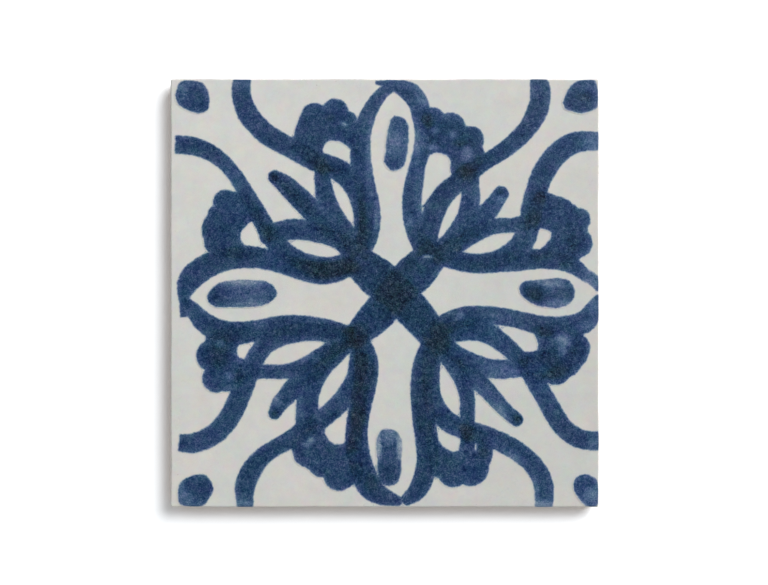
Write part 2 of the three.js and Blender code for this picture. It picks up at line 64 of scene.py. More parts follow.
# %% Sizes of the tile
MM = 0.001
low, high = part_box("white_glaze")
HALF = (high.x - low.x) / 2 / MM  # half the tile's side
FACE = high.z / MM  # height of the glazed face
GLAZE_FOOT = low.z / MM  # where the glaze ends on the sides
ARRIS = 0.7  # radius of the rounded edge of the face
CORNER = 0.9  # radius of a corner, seen from above
FLAT = HALF - ARRIS  # the flat of the face reaches this far
print(f"face {2 * HALF:.1f} mm square at {FACE:.1f} mm, glaze down to {GLAZE_FOOT:.1f} mm")

# %% [markdown]
# ## The brush strokes
#
# A stroke of a loaded brush is a line with a width that grows where the brush is pressed. It could be
# drawn as an outline, but then each change moves two edges. Here a stroke is the way of the brush's
# middle, with the width at each point: x to the right, y up, and the width, from the tile's middle.
# These are the ways that the solids in the frame were made from. The first end of a stroke is its tip.

# %% Ways of the brush
CROSS = {
    "cross_a": [(-15.5, 18, 12.5), (-11.1, 13.5, 15.4), (-3, 6.9, 18.3), (5.3, 0.4, 15.6),
        (12.8, -7.8, 16.6), (21, -17.3, 14.5), (25.3, -21.6, 12.3)],
    "cross_b": [(-15.5, -21.5, 11.3), (-12.1, -18.6, 12.4), (-2.9, -9.5, 16), (5.4, 0.7, 15.2),
        (13.9, 9, 18.2), (20.6, 15.6, 15), (24.5, 20.5, 12.5)],
}
PETALS = {
    "petal_n_right": [(-4, 98.3, 1.6), (-1.8, 98.1, 2.6), (3, 97.9, 3.7), (7.6, 96, 7.2),
        (12.4, 93.3, 9.5), (15.8, 88.3, 9.3), (17.4, 81.5, 8.8), (18.1, 75, 8.2), (17.4, 67, 8),
        (15.5, 60, 7.6), (13.4, 50, 8.9), (12.7, 42, 9.2), (13.2, 34, 9), (15.1, 27, 8.8),
        (18.4, 19.5, 8.7)],
    "petal_n_left": [(4.7, 97.3, 4.2), (0.5, 94.7, 5.4), (-3, 91.2, 6.1), (-7.1, 84.8, 7.3),
        (-10.2, 76, 8.2), (-11.2, 68, 9.3), (-11, 60, 9.8), (-9.1, 50, 9.5), (-7, 40, 9.7),
        (-7, 32, 10), (-8.5, 25, 9.7), (-12, 18, 9)],
    "petal_e_upper": [(99.9, 1.6, 2.6), (97.9, 5.8, 5.7), (93.7, 8.4, 5.9), (89.5, 11.7, 7.2),
        (84.6, 14, 7.8), (78, 15.5, 8.8), (70, 15.9, 9.3), (62, 15.1, 9.9), (54, 14.4, 9.2),
        (46, 13.7, 9), (38, 14.3, 9), (31, 16.1, 9.2), (24.5, 18, 9)],
    "petal_e_lower": [(99.9, -1.4, 2.8), (98.3, -4.6, 5.2), (96.3, -9.8, 9), (92.8, -13.7, 10.5),
        (86, -15.1, 9.5), (78, -15.6, 9.5), (70, -14.5, 8.9), (62, -12.4, 8.2), (54, -10.9, 8.4),
        (46, -10.3, 8.8), (38, -10.9, 9.4), (31, -13.1, 9.5), (24, -17.2, 9.1)],
    "petal_s_left": [(7.6, -97.4, 4.2), (-1.9, -94.5, 8.9), (-7.4, -89.7, 11.7), (-10.4, -82, 11),
        (-12.5, -75, 11), (-13.2, -66, 10.5), (-12.1, -56, 10.3), (-9.9, -46, 10.7), (-8.5, -37, 11),
        (-9.1, -30, 11.1), (-12.3, -22, 10)],
    "petal_s_right": [(8.9, -97.5, 4.8), (15.3, -92.2, 8.7), (18.3, -85.6, 9.5), (20.1, -78, 10.3),
        (19.8, -70, 10.7), (18.4, -60, 10.8), (17.4, -50, 10.6), (17.4, -41, 10.6), (18.9, -32, 10.4),
        (22.4, -23, 9.7)],
    "petal_w_upper": [(-93.8, -10.8, 3.4), (-93.6, -4.5, 4.7), (-93.4, 0.3, 6.9), (-91, 6.2, 10.8),
        (-84.4, 11.8, 11.4), (-77, 15, 10.9), (-69, 16.4, 10.2), (-60, 16.4, 9.7), (-52, 15, 9.5),
        (-44, 12.6, 9.5), (-36, 10.1, 9.8), (-28, 9, 9.9), (-20.5, 10.8, 9.5), (-14, 14.6, 8.8)],
    "petal_w_lower": [(-93.3, -3.8, 5), (-89.7, -7.6, 6.7), (-85.6, -12.5, 9.1), (-80.5, -16.1, 10),
        (-74, -17.9, 9.8), (-66, -18.1, 9.7), (-58, -17, 9.4), (-50, -15.5, 9.6), (-42, -15.1, 9.7),
        (-34, -15.7, 9.6), (-26, -17.1, 9.2), (-17, -19.8, 8.8)],
}
SCROLLS = {
    "scroll_nw_top": [(-66.6, 100.5, 8.4), (-67.1, 95, 8.7), (-66.4, 90, 9.2), (-64.1, 84.1, 9.6),
        (-60.3, 79.1, 9.6), (-54.8, 73.9, 9.7), (-48, 70, 9.6), (-42, 66.8, 9.5), (-36, 63.4, 9.4),
        (-28.8, 60.3, 10), (-20.4, 56.7, 10.4), (-14.4, 49.8, 9.4), (-11, 41, 9), (-10, 32, 9),
        (-11.5, 22, 9)],
    "scroll_nw_left": [(-96.9, 69.3, 8.6), (-92, 69, 8.8), (-86, 67.6, 8.3), (-80, 64.7, 7.6),
        (-74.5, 60.4, 7), (-70, 55, 6.9), (-66.4, 49.5, 7.2), (-62.8, 43.5, 7.6), (-58.8, 36.5, 8.2),
        (-55, 29.5, 8.6), (-50, 22.6, 9), (-43, 17, 8.6), (-34, 13.4, 8.8), (-25, 12.2, 9.4),
        (-16, 14.5, 9)],
    "scroll_ne_top": [(71.6, 100.5, 7.4), (72.6, 95, 9.5), (72.5, 90, 9.7), (70.9, 84.2, 9.7),
        (67, 77.4, 8.7), (61.5, 71.4, 8.4), (54.2, 65.7, 7.8), (47.7, 61.7, 7.4), (42.7, 58.6, 8.4),
        (37.6, 55.2, 9), (32.5, 50.3, 8.8), (26.1, 43.6, 9.8), (22.2, 35.5, 10.4), (20.2, 28, 10),
        (20.6, 19, 9)],
    "scroll_ne_right": [(100.5, 71, 8.4), (94, 71, 9.3), (88, 70, 10), (82.2, 66.5, 10.2),
        (77.1, 61, 10.4), (73.1, 54, 10.3), (70.7, 47, 10.2), (69, 40, 10.4), (67.3, 33, 9.5),
        (64.9, 25.8, 9.1), (59.6, 19.6, 9), (52, 15.4, 8.8), (43, 14, 8.8), (34.5, 15.2, 8.4),
        (26, 18, 8.4)],
    "scroll_se_right": [(100.5, -69, 9.1), (94.5, -68.8, 9), (88.5, -66.8, 9.1), (83.1, -62.4, 8.9),
        (79.2, -56.7, 9.2), (75.4, -49.9, 8.9), (71.4, -43.1, 9), (67.9, -36.7, 9), (63.6, -31.4, 8.2),
        (58.5, -26.2, 8.1), (52.5, -21.5, 9), (45.6, -17.8, 9.9), (38, -17.3, 9.9), (30, -18.5, 9.4),
        (23, -20.5, 9)],
    "scroll_se_bottom": [(74.2, -100.5, 8), (74.5, -95, 9), (74.2, -90, 9.3), (72.2, -84.3, 9.1),
        (67.8, -78.6, 9), (61.9, -73.9, 9.2), (55.9, -70.4, 9.3), (49.8, -67.6, 9.1),
        (43.8, -65.5, 9.2), (37.5, -63.6, 9.4), (30.7, -60.8, 9.5), (25.2, -55.4, 9.1),
        (22.1, -47.4, 8.2), (21.5, -38, 8.5), (22.2, -28, 8.8)],
    "scroll_sw_bottom": [(-65.2, -100.5, 7.8), (-65.4, -95, 8.5), (-65.2, -90, 9.5),
        (-63.2, -84.7, 9.8), (-59.9, -79.4, 9), (-55.1, -74.8, 8.2), (-49.7, -71.5, 7.8),
        (-43.7, -68.2, 8.5), (-37.4, -64.3, 9.7), (-28.8, -58.3, 8.8), (-22, -52.3, 9.1),
        (-16.9, -45.9, 9.1), (-13.2, -38, 8.7), (-11.8, -29, 8.9)],
    "scroll_sw_left": [(-95.2, -69.9, 8), (-90, -70.2, 9.2), (-84, -68.3, 9.5), (-78.3, -64.8, 9.6),
        (-73.7, -59.7, 9.8), (-70, -53.4, 9.8), (-67.1, -46.6, 9.9), (-64.8, -39.5, 10.4),
        (-61.3, -32, 8.8), (-56.5, -25.1, 8.8), (-50, -21, 8.8), (-42, -18.8, 8.8), (-34, -17.9, 8.8),
        (-25, -18.8, 9), (-16, -20.5, 8.6)],
}
LEAVES = {
    "leaf_nw_top": [(-29.6, 58.5, 7.2), (-28.8, 52, 7.7), (-27.9, 45.9, 8.8), (-25.2, 40.2, 7.9),
        (-21.6, 34.7, 7.1), (-18, 29.2, 7.6), (-14.5, 22, 8)],
    "leaf_nw_left": [(-54, 28.3, 8), (-48, 29.1, 9.3), (-41, 29.8, 9.9), (-34, 28.7, 9.4),
        (-27, 26.7, 8.4), (-20.4, 23.5, 7.4), (-14, 18, 8)],
    "leaf_ne_top": [(40.6, 57, 8), (40, 50, 8.2), (40.2, 44, 9.1), (38.5, 37.3, 8.3), (34.9, 31, 7.8),
        (30.3, 24.8, 7.6), (24.5, 18.5, 8)],
    "leaf_ne_right": [(66, 33, 7), (59, 31.7, 7), (52, 31.4, 7.3), (45.8, 29.3, 7.5), (39.8, 26, 7.6),
        (34, 22.2, 7.4), (27, 17.5, 8)],
    "leaf_se_right": [(66, -34.8, 8), (60, -35.3, 8.6), (53, -35.6, 9), (46, -34.5, 9.1),
        (39.3, -31.6, 8.5), (33, -27.8, 7.6), (26, -22, 8)],
    "leaf_se_bottom": [(38.7, -63, 6.6), (38.7, -55, 7), (38.4, -48, 7.3), (36.4, -41, 7.9),
        (32.8, -34.9, 7.8), (28.5, -28.8, 8), (23, -22, 8)],
    "leaf_sw_bottom": [(-36.7, -63, 10), (-36.3, -55, 10.5), (-35.7, -48, 10.1), (-32.3, -40.8, 8.3),
        (-27.7, -34.4, 7.5), (-22.2, -28.4, 7.8), (-16, -22, 8)],
    "leaf_sw_left": [(-62, -36.5, 7), (-55, -36.7, 6.8), (-48, -36.8, 6.8), (-41.6, -35.5, 7.2),
        (-35, -32.3, 7.2), (-28, -28.1, 7.5), (-21, -23.6, 8), (-15, -20.5, 8)],
}
BUDS = {
    "bud_nw": [(-51.2, 54.1, 6.6), (-46.3, 50.6, 8.6), (-41.5, 46, 9.8), (-35.8, 40.3, 10.2),
        (-30, 34, 9.4), (-23, 27, 9), (-16, 20, 9)],
    "bud_ne": [(54.3, 46.4, 7.3), (51.2, 41.8, 8.1), (47.4, 37.2, 9.3), (42.5, 31.7, 9), (36, 26, 8.4),
        (30, 20.5, 8.4), (24, 16, 8.4)],
    "bud_se": [(61.5, -59.1, 6.5), (56.5, -54.8, 6.7), (51.6, -49.6, 7.4), (46.5, -43.9, 8.1),
        (40.8, -38.2, 9.2), (34, -31, 9.4), (27, -24, 9)],
    "bud_sw": [(-51.3, -56, 6.2), (-49, -51.6, 7.7), (-45.2, -47.6, 8.6), (-41.8, -43.2, 9),
        (-36, -38.4, 9.2), (-28, -31.5, 9), (-20, -25, 9)],
}
print("strokes:", sum(len(family) for family in (CROSS, PETALS, SCROLLS, LEAVES, BUDS)))

# %% [markdown]
# ## Blots and lobes
#
# A blot is where the brush was pressed down and rolled, so only its rim is given. Each cluster of
# lobes between a petal and its scroll is a few round dabs, a web that joins them to the strokes beside
# them, and a bare eye that the brush went round.

# %% Rims of the blots
LOBES = {
    "lobes_nw_top": {
        "dabs": [(-32.8, 82.5, 6.3), (-23.2, 84.5, 6.3)],
        "web": [(-42.5, 73.2), (-39.9, 82), (-37.6, 84), (-28, 85.7), (-16.3, 84.9), (-13, 81.4),
            (-12, 70), (-16, 58), (-30, 57), (-42, 66)],
        "eye": [(-28.8, 66.9), (-27.4, 70.2), (-24, 71.3), (-19.8, 70.2), (-16.4, 67.6), (-14, 65),
            (-14, 57), (-20, 57), (-26, 60)],
    },
    "lobes_nw_left": {
        "dabs": [(-74.4, 42.5, 5.8), (-75.2, 29.6, 10.3)],
        "web": [(-70, 47.4), (-79.4, 41), (-82, 39), (-84.6, 24.5), (-80.4, 18), (-66, 16), (-54, 20),
            (-56, 34), (-62, 44)],
        "eye": [(-62.1, 33.3), (-64.6, 31.2), (-67, 28.6), (-67.3, 25.3), (-65.2, 22.5), (-60, 21.8),
            (-53.6, 20.7), (-57.9, 24), (-58.9, 27.6)],
    },
    "lobes_ne_top": {
        "dabs": [(22.6, 80.9, 5.8), (30.6, 77, 7.3), (40.2, 71.8, 6.2)],
        "web": [(18, 84), (28, 83.4), (38.2, 77.8), (46.6, 65.8), (44, 58), (36, 54), (26, 48),
            (17, 40), (16, 60), (17, 75)],
        "eye": [(19.6, 62), (21.4, 64.8), (24.2, 65.6), (28.8, 64.4), (30.6, 61.5), (30.7, 57.5),
            (31.2, 54.9), (27.5, 52.5), (23, 48), (17.7, 40.8), (17.2, 46), (18.2, 54)],
    },
    "lobes_ne_right": {
        "dabs": [(80.4, 35.2, 9.8), (90.7, 34.3, 5.4), (90.3, 23.4, 6.8)],
        "web": [(76, 47), (89.3, 40.6), (95, 30.4), (90.8, 15.2), (84, 12), (70, 16), (66, 22),
            (66, 36), (70, 46)],
        "eye": [(72.6, 30.2), (75.5, 29.7), (78, 28.2), (77.4, 25.5), (74.8, 22.6), (73, 20.8),
            (69, 20.5), (70.9, 25)],
    },
    "lobes_se_right": {
        "dabs": [(88.9, -25.7, 7.1), (84.3, -29.8, 8.8), (80, -35.5, 7.4)],
        "web": [(92.6, -18.6), (95.1, -29.3), (91.2, -35), (87.4, -38.9), (76.6, -42.2), (66, -36),
            (60, -26), (52, -15), (60, -12), (75, -14), (90, -14)],
        "eye": [(53, -15.1), (57.5, -14.8), (63, -15.8), (68.9, -17.3), (70.3, -20.2), (71.7, -24),
            (71.2, -26.6), (65.2, -27.2), (61.3, -24.1), (57.3, -20)],
    },
    "lobes_se_bottom": {
        "dabs": [(32, -83.2, 7.5), (40, -81.3, 8.8)],
        "web": [(23.8, -86), (36.5, -88.4), (45.8, -84.8), (50.7, -74), (46, -65), (36, -61), (26, -56),
            (20, -62), (20, -78)],
        "eye": [(23.6, -60), (24.5, -67), (27.1, -71.4), (31.6, -74.1), (34.4, -73.3), (35.2, -70.5),
            (35, -67), (32, -62), (28, -57)],
    },
    "lobes_sw_bottom": {
        "dabs": [(-36, -74.3, 7), (-29.5, -80, 6.1), (-21.2, -84.6, 7.7)],
        "web": [(-43.7, -72.7), (-37.9, -80.8), (-27.4, -86.2), (-15, -89.5), (-10, -84), (-12, -60),
            (-20, -54), (-30, -60), (-40, -66)],
        "eye": [(-16.4, -54), (-16.9, -61), (-17.9, -68), (-20, -70.4), (-23.6, -70.4), (-26.5, -68),
            (-28, -64.2), (-25, -60.8), (-20.6, -57.6)],
    },
    "lobes_sw_left": {
        "dabs": [(-80.4, -29.2, 7.6), (-78.4, -39.6, 6.9)],
        "web": [(-83.6, -20), (-84.2, -35.4), (-78, -44.8), (-72.2, -45.7), (-66, -42), (-62, -34),
            (-56, -24), (-62, -17), (-74, -16), (-82, -18)],
        "eye": [(-69.1, -27), (-67.7, -24.3), (-65, -23.6), (-60.9, -23), (-63, -26.4), (-65.4, -30.9),
            (-67.9, -30.2)],
    },
}
DABS = {
    "dab_n": [(4.8, 82.8), (2.7, 81), (1.8, 77), (0.8, 72.4), (0.3, 66), (-0.3, 61.3), (2.2, 57.8),
        (5.6, 57.2), (8.9, 59.3), (10.2, 64), (11, 70), (10.9, 78.8), (8.5, 81.8)],
    "dab_e": [(62.7, 2.3), (64.5, 5.1), (68, 5.9), (74, 6.3), (81, 7), (86.2, 5.8), (88.5, 2.2),
        (88.6, -1.8), (86.4, -5), (82, -6.8), (76, -6.7), (70.3, -5.5), (65.7, -2.7), (63.3, 0)],
    "dab_s": [(1.8, -63.3), (-1.5, -64.1), (-3.5, -67.5), (-3.9, -73), (-3.4, -78.3), (-3.4, -83),
        (-1.8, -88.2), (1.8, -90.2), (6.1, -88.4), (7.7, -83), (7.6, -78), (8.1, -71), (7.1, -66.6),
        (4.6, -64)],
    "dab_w": [(-82.7, -0.8), (-80.6, 2.2), (-77.4, 4.7), (-71, 6), (-63, 6.1), (-55.5, 5.5),
        (-51.9, 3.1), (-50.3, 0), (-52.3, -3.5), (-57, -5.8), (-64, -6.6), (-72, -6.6), (-79, -6.5),
        (-82.4, -4)],
}
CORNER_DOTS = {
    "corner_dot_nw": [(-95, 99), (-89.7, 99.2), (-85.5, 98.3), (-82.7, 94.8), (-81.9, 89.2),
        (-82.9, 85.3), (-87, 84.1), (-91, 85), (-95.2, 87.1), (-97.4, 90), (-97.4, 94.5)],
    "corner_dot_ne": [(83.1, 88.8), (85.1, 93.8), (88, 98), (91.8, 99.5), (98, 99.4), (99.5, 95.5),
        (99.8, 90), (98.9, 86.3), (95, 84.6), (91.5, 83.8), (87.2, 85), (84, 86.2)],
    "corner_dot_se": [(88.1, -89.3), (89.5, -86), (93.6, -84.6), (98, -86.2), (99.7, -89), (99.9, -96),
        (98.8, -99.8), (93.9, -99.3), (91, -96.3), (88.8, -92.8)],
    "corner_dot_sw": [(-96.5, -91.5), (-94.7, -87.7), (-90.6, -85.5), (-84.6, -84.6), (-81.6, -87.4),
        (-79.9, -91.2), (-82, -95.9), (-85.3, -99.5), (-91, -99.9), (-95.6, -98.4), (-96.5, -95)],
}
print("blots:", len(LOBES) + len(DABS) + len(CORNER_DOTS))

# %% [markdown]
# ## Thin washes and dark pools
#
# Cobalt goes down as water colour does: thin where the brush was nearly dry, and dark where two
# strokes cross or the colour ran together. Overlaps can be worked out, but the pools are where the
# painter's hand left them, so each is written down as a soft ellipse: its middle, its two half widths,
# how much a pool darkens or a wash thins the colour and, where it lies askew, its turn in degrees.

# %% Pools and washes
POOLS = [
    (5, 0, 21, 21, 0.06), (5, -1, 8, 8, 0.04), (-26, 11.5, 14, 5, 0.1, -8), (-11, 35, 2.8, 12, 0.06),
    (-31, 60, 4.5, 4.5, 0.05), (-55, 27, 4.5, 4.5, 0.06), (-70, 18, 6, 4, 0.03),
    (70, 34, 4.5, 5.5, 0.06), (73, 45, 3.5, 4, 0.08), (38, 57, 4.5, 4, 0.09),
    (20.5, 80.5, 3.4, 3.8, 0.08), (19.5, 66, 2.8, 3.6, 0.07), (-10.5, -36, 4.8, 11, 0.11, 8),
    (-12.2, -55, 4.8, 11, 0.14, 5), (-15.6, -72, 2.8, 9, 0.08, 4), (-14, -20, 6.5, 6.5, 0.11),
    (23, -21.5, 6, 6, 0.05), (38, -66, 3.6, 4.5, 0.11), (75, -18.5, 4.5, 2.5, 0.05),
    (77, -32, 9, 9, 0.07), (89, -27, 4, 7, 0.05), (-68, -38, 4, 5, 0.05), (-53, 54.5, 3.2, 3.2, 0.11),
    (54.5, 47, 2.5, 2, 0.1), (-51.5, -56.5, 2.4, 2.4, 0.08), (62.5, -58.5, 3, 3.2, 0.11),
    (69, -1, 5, 4, 0.07), (-79, -0.5, 4, 4.5, 0.07), (5, 60, 5, 3, 0.03), (2.3, -83.5, 4.5, 4.5, 0.06),
    (16.5, -57, 4, 28, 0.04, -3), (-40, 43, 16, 5.5, 0.075, -44), (-25.5, 82, 3, 2.5, 0.07),
    (-31, 7.5, 7, 2.2, 0.07, -8), (37, 69.5, 6, 2, 0.07, -8), (93, 91.5, 6, 3, 0.07),
    (88.5, 24, 6, 7.5, 0.07), (34.5, 20.5, 2, 2.2, 0.07), (-76.5, -29, 6.5, 8, 0.085),
    (-4.5, -38, 1.8, 9, 0.07), (-27.5, -84, 2.5, 2, 0.07), (-6, -88, 4.5, 6, 0.07),
    (81, -37, 6, 3, 0.07, 25), (46.5, -74.5, 3.5, 3.5, 0.075),
]
WASHES = [
    (5, 68, 6.5, 15, 0.06), (-7.2, 63, 1.8, 24, 0.12), (-19, 79.2, 2, 0.7, 0.36, -27),
    (17.5, 91, 3, 5, 0.17, 20), (16, 71, 3.5, 8, 0.19), (12, 33, 2.2, 3.4, 0.16),
    (-4, 33, 1.2, 3.6, 0.24), (22, 68, 2.6, 1.4, 0.2), (23.5, 76, 2, 1.4, 0.14),
    (31.5, 74, 2, 2.2, 0.17), (38.5, 65, 3.2, 3.6, 0.21), (4.5, 71, 5.5, 6, 0.14),
    (97, 71, 5, 4.5, 0.2), (72.5, 96, 4, 4, 0.06), (-94.5, 94, 3, 5, 0.13), (-84, 95, 1.7, 2.2, 0.12),
    (98, 92, 2, 6, 0.03), (75.5, 3.5, 5, 1.6, 0.14, -29), (79, 4.8, 6.5, 1.9, 0.24, -8),
    (81, -4.8, 6.5, 2, 0.24), (96, 5.5, 4, 5, 0.2), (-66, 5, 11, 2, 0.27), (-62, -5.2, 8, 1.8, 0.21),
    (2.3, -67, 3.8, 3.2, 0.2), (-2.8, -72, 1.4, 5.5, 0.36), (7, -72, 1.4, 5.5, 0.36),
    (83.5, -22, 3.8, 3, 0.27, -40), (83, -27, 1.8, 3, 0.15), (54, -35.5, 9, 3, 0.12),
    (35.5, -10.5, 2, 2, 0.21), (60, -76, 6.5, 2.2, 0.19, -35), (74.5, -99, 5, 2.6, 0.3),
    (70.5, -92, 1.7, 6, 0.12), (-66, -99, 4.5, 2.2, 0.22), (-34.5, -68.5, 1.7, 1.4, 0.3),
    (-37, -71, 1.7, 1.4, 0.19), (-77, -23.5, 2, 1.7, 0.14), (-73, -38.5, 1.7, 1.7, 0.19),
    (-93, -95, 3.2, 3.2, 0.19), (96, -95, 3.6, 4.2, 0.18), (-50.5, -50.5, 2.2, 2.8, 0.19),
    (54.5, 44, 2, 1.7, 0.15), (54, -55, 5.5, 1.6, 0.18, -45), (42.6, -72, 0.5, 1.8, 0.7),
    (20, 17, 2.2, 0.6, 0.47), (-62, -28, 2.2, 8, 0.07, -24), (-67, 98, 4.5, 4.5, 0.13),
    (-90, 97.5, 5, 2, 0.07), (-71.5, 55, 7, 3.5, 0.07, -50), (-97, 69, 2.2, 4, 0.07),
    (-33.5, 16.8, 4, 1.6, 0.08, -15), (-4, 40, 1.4, 4, 0.12), (-6.5, 22.5, 1.8, 2.8, 0.07),
    (-64, 0, 15, 4.5, 0.1), (-60.5, -2, 4.5, 2.5, 0.08), (2.3, -76, 6, 14, 0.08),
    (9, 97, 9, 2.2, 0.09, -8), (16, 49, 2.6, 14, 0.12), (16.8, 41.5, 1.8, 3, 0.07),
    (32.5, 82, 3.5, 2, 0.07, -20), (43.5, 46, 1.5, 4, 0.08), (93.5, 96, 2.5, 1.8, 0.07),
    (68.7, 25.5, 1.8, 4.5, 0.13), (50.5, 40.5, 6, 3, 0.08, 52), (25.8, 36, 1.3, 2.8, 0.1),
    (77, 14.5, 4, 2, 0.07), (-57.5, -14, 4.5, 2, 0.09), (-95.5, -90, 2.4, 3.5, 0.14),
    (-89, -98, 4.5, 2.5, 0.11), (-46, -67.5, 3.5, 2.2, 0.09, 25), (-39, -54, 2, 7, 0.075),
    (-34.5, -30, 4.5, 2.2, 0.1, 10), (-36, -69, 3.2, 2.6, 0.07), (-19.5, -20.5, 3.5, 3, 0.075),
    (-14.5, -76.5, 3.5, 2.8, 0.075), (59, -12.8, 12, 3.2, 0.1, -8), (66, -16, 3.5, 2, 0.07),
    (55, -22.5, 8, 3, 0.08, -40), (97.5, -6, 2.5, 5, 0.14), (93.5, -15, 6, 2.5, 0.13, 15),
    (71, -35, 5, 2.5, 0.08), (60.5, -37.5, 3, 2, 0.09), (49.5, -38.7, 3, 1.5, 0.11),
    (44.5, -33.5, 6, 3, 0.07, -20), (34, -27, 4.5, 3, 0.08), (31, -35, 6.5, 2.3, 0.1, -60),
    (50, -49, 10, 3.5, 0.11, -45), (32, -64.5, 4, 1.8, 0.08, -20), (51.5, -70, 3, 2.5, 0.08),
    (74, -44.5, 3.5, 2.5, 0.07), (98.5, -69.5, 3, 4.5, 0.11), (98.5, -91.5, 1.8, 4, 0.1),
]
print("pools:", len(POOLS), "washes:", len(WASHES))

# %% [markdown]
# ## How far is a point from the paint?
#
# A painted edge that is soft and a little ragged can't come from a hard outline. If every point of the
# surface knows how far it lies inside or outside the strokes, the material can draw the edge itself,
# as soft and as grainy as it likes. The distance to a stroke is the distance to the nearest piece of
# its way, less half the brush's width there. Below nought is inside.

# %% Distance to a stroke
BLUNT = 0.25  # how far a brush's square end reaches, as a share of its half width
ROUND = 1.0  # the same for a round end
WAY_STEP = 2.0  # between two points of a smoothed way


def smooth_way(points, closed=False):
    """Points a step apart on a smooth line through the given ones."""
    given = np.array(points, float)
    before = given[-1:] if closed else 2 * given[:1] - given[1:2]
    after = given[:2] if closed else 2 * given[-1:] - given[-2:-1]
    p = np.concatenate([before, given, after])
    line = []
    for i in range(1, len(p) - 2):
        length = np.hypot(*(p[i + 1] - p[i])[:2])
        t = np.arange(0, 1, 1 / max(1, round(length / WAY_STEP)))[:, None]
        line.append(0.5 * (2 * p[i] + (p[i + 1] - p[i - 1]) * t
                           + (2 * p[i - 1] - 5 * p[i] + 4 * p[i + 1] - p[i + 2]) * t ** 2
                           + (3 * p[i] - p[i - 1] - 3 * p[i + 1] + p[i + 2]) * t ** 3))
    return np.concatenate(line + [given[:1] if closed else given[-1:]])


def nearest_on(way, at):
    """Distance from each point to a line of pieces, the piece's number and the share along it."""
    best = np.full(len(at), np.inf)
    piece = np.zeros(len(at), int)
    share = np.zeros(len(at))
    for i, (a, b) in enumerate(zip(way[:-1], way[1:])):
        along = (b - a)[:2]
        t = np.clip((at - a[:2]) @ along / (along @ along), 0, 1)
        half = (a[2] + t * (b[2] - a[2])) / 2 if way.shape[1] > 2 else 0
        d = np.hypot(*(at - a[:2] - t[:, None] * along).T) - half
        closer = d < best
        best[closer], piece[closer], share[closer] = d[closer], i, t[closer]
    return best, piece, share


def stroke_distance(way, tip, at):
    best, piece, share = nearest_on(way, at)
    for end, inner, last, here, reach in ((way[0], way[1], 0, 0, tip),
                                          (way[-1], way[-2], len(way) - 2, 1, BLUNT)):
        out = (end - inner)[:2] / np.hypot(*(end - inner)[:2])
        beyond = (at - end[:2]) @ out - reach * end[2] / 2
        cut = (piece == last) & (share == here)
        best[cut] = np.maximum(best[cut], beyond[cut])
    return best


print("distance from (0, 0) to the cross:",
      round(float(stroke_distance(smooth_way(CROSS["cross_a"]), BLUNT, np.zeros((1, 2)))[0]), 2))

# %% [markdown]
# A blot needs the distance to its rim, with the sign from whether the point lies within. A cluster of
# lobes is the nearest of its dabs and its web, with its eye taken out again.

# %% Distance to a blot
def blot_distance(rim, at):
    best = nearest_on(rim, at)[0]
    x, y = at.T
    within = np.zeros(len(at), bool)
    for (ax, ay), (bx, by) in zip(rim[:-1], rim[1:]):
        crosses = (ay > y) != (by > y)
        within ^= crosses & (x < ax + (y - ay) * (bx - ax) / (by - ay if by != ay else 1))
    return np.where(within, -best, best)


def lobe_distance(dabs, web, eye, at):
    best = blot_distance(web, at)
    for x, y, radius in dabs:
        best = np.minimum(best, np.hypot(at[:, 0] - x, at[:, 1] - y) - radius)
    return np.maximum(best, -blot_distance(eye, at))


print("distance from (5, 70) to the dab there:",
      round(float(blot_distance(smooth_way(DABS["dab_n"], True), np.array([[5.0, 70.0]]))[0]), 2))

# %% [markdown]
# ## All the motifs in one list
#
# Each motif keeps its name, the box that it fills and its distance function. The order is
# the painter's order, and later strokes lie on earlier ones. Looking only at points in a motif's box
# keeps the sums short.

# %% The painter's order
motifs = []


def add_motif(name, outline, distance, reach):
    low_corner = outline[:, :2].min(0) - reach
    high_corner = outline[:, :2].max(0) + reach
    motifs.append({"name": name, "box": (low_corner, high_corner), "distance": distance})


def add_stroke(name, points, tip=BLUNT):
    way = smooth_way(points)
    add_motif(name, way, lambda at: stroke_distance(way, tip, at), way[:, 2].max() / 2 + 3)


def add_blot(name, points):
    rim = smooth_way(points, closed=True)
    add_motif(name, rim, lambda at: blot_distance(rim, at), 3)


def add_lobes(name, cluster):
    web = smooth_way(cluster["web"], closed=True)
    eye = smooth_way(cluster["eye"], closed=True)
    dabs = cluster["dabs"]
    reach = max(radius for *_, radius in dabs) + 3
    outline = np.concatenate([web, np.array(dabs)[:, :2]])
    add_motif(name, outline, lambda at: lobe_distance(dabs, web, eye, at), reach)


for name, points in {**CROSS, **PETALS, **SCROLLS, **LEAVES}.items():
    add_stroke(name, points)
for name, points in BUDS.items():
    add_stroke(name, points, ROUND)
for name, cluster in LOBES.items():
    add_lobes(name, cluster)
for name, points in {**DABS, **CORNER_DOTS}.items():
    add_blot(name, points)
print("motifs:", len(motifs))

# %% [markdown]
# ## What the paint is like at a point
#
# Three numbers say it: how far the point lies from the nearest edge of the paint, in how many layers
# the paint lies there, and how much the pools and washes darken or thin it. Where two strokes meet,
# wet colour fills the sharp crotch between them, so their distances are joined with a small fillet.

# %% Edge, layers and tone
FAR = 3.0  # beyond this, a distance no longer matters
CROTCH = 0.4  # how far wet colour fills the angle between two strokes
LAYER_BLUR = 0.8  # over this width one layer more sets in
SPOT_FALL = 1.5  # above 1, a pool is flatter in its middle and falls off faster


def within_box(at, box, margin=0.0):
    return ((at > box[0] - margin) & (at < box[1] + margin)).all(1)


def join_softly(a, b):
    share = np.clip(0.5 + 0.5 * (b - a) / CROTCH, 0, 1)
    return b * (1 - share) + a * share - CROTCH * share * (1 - share)


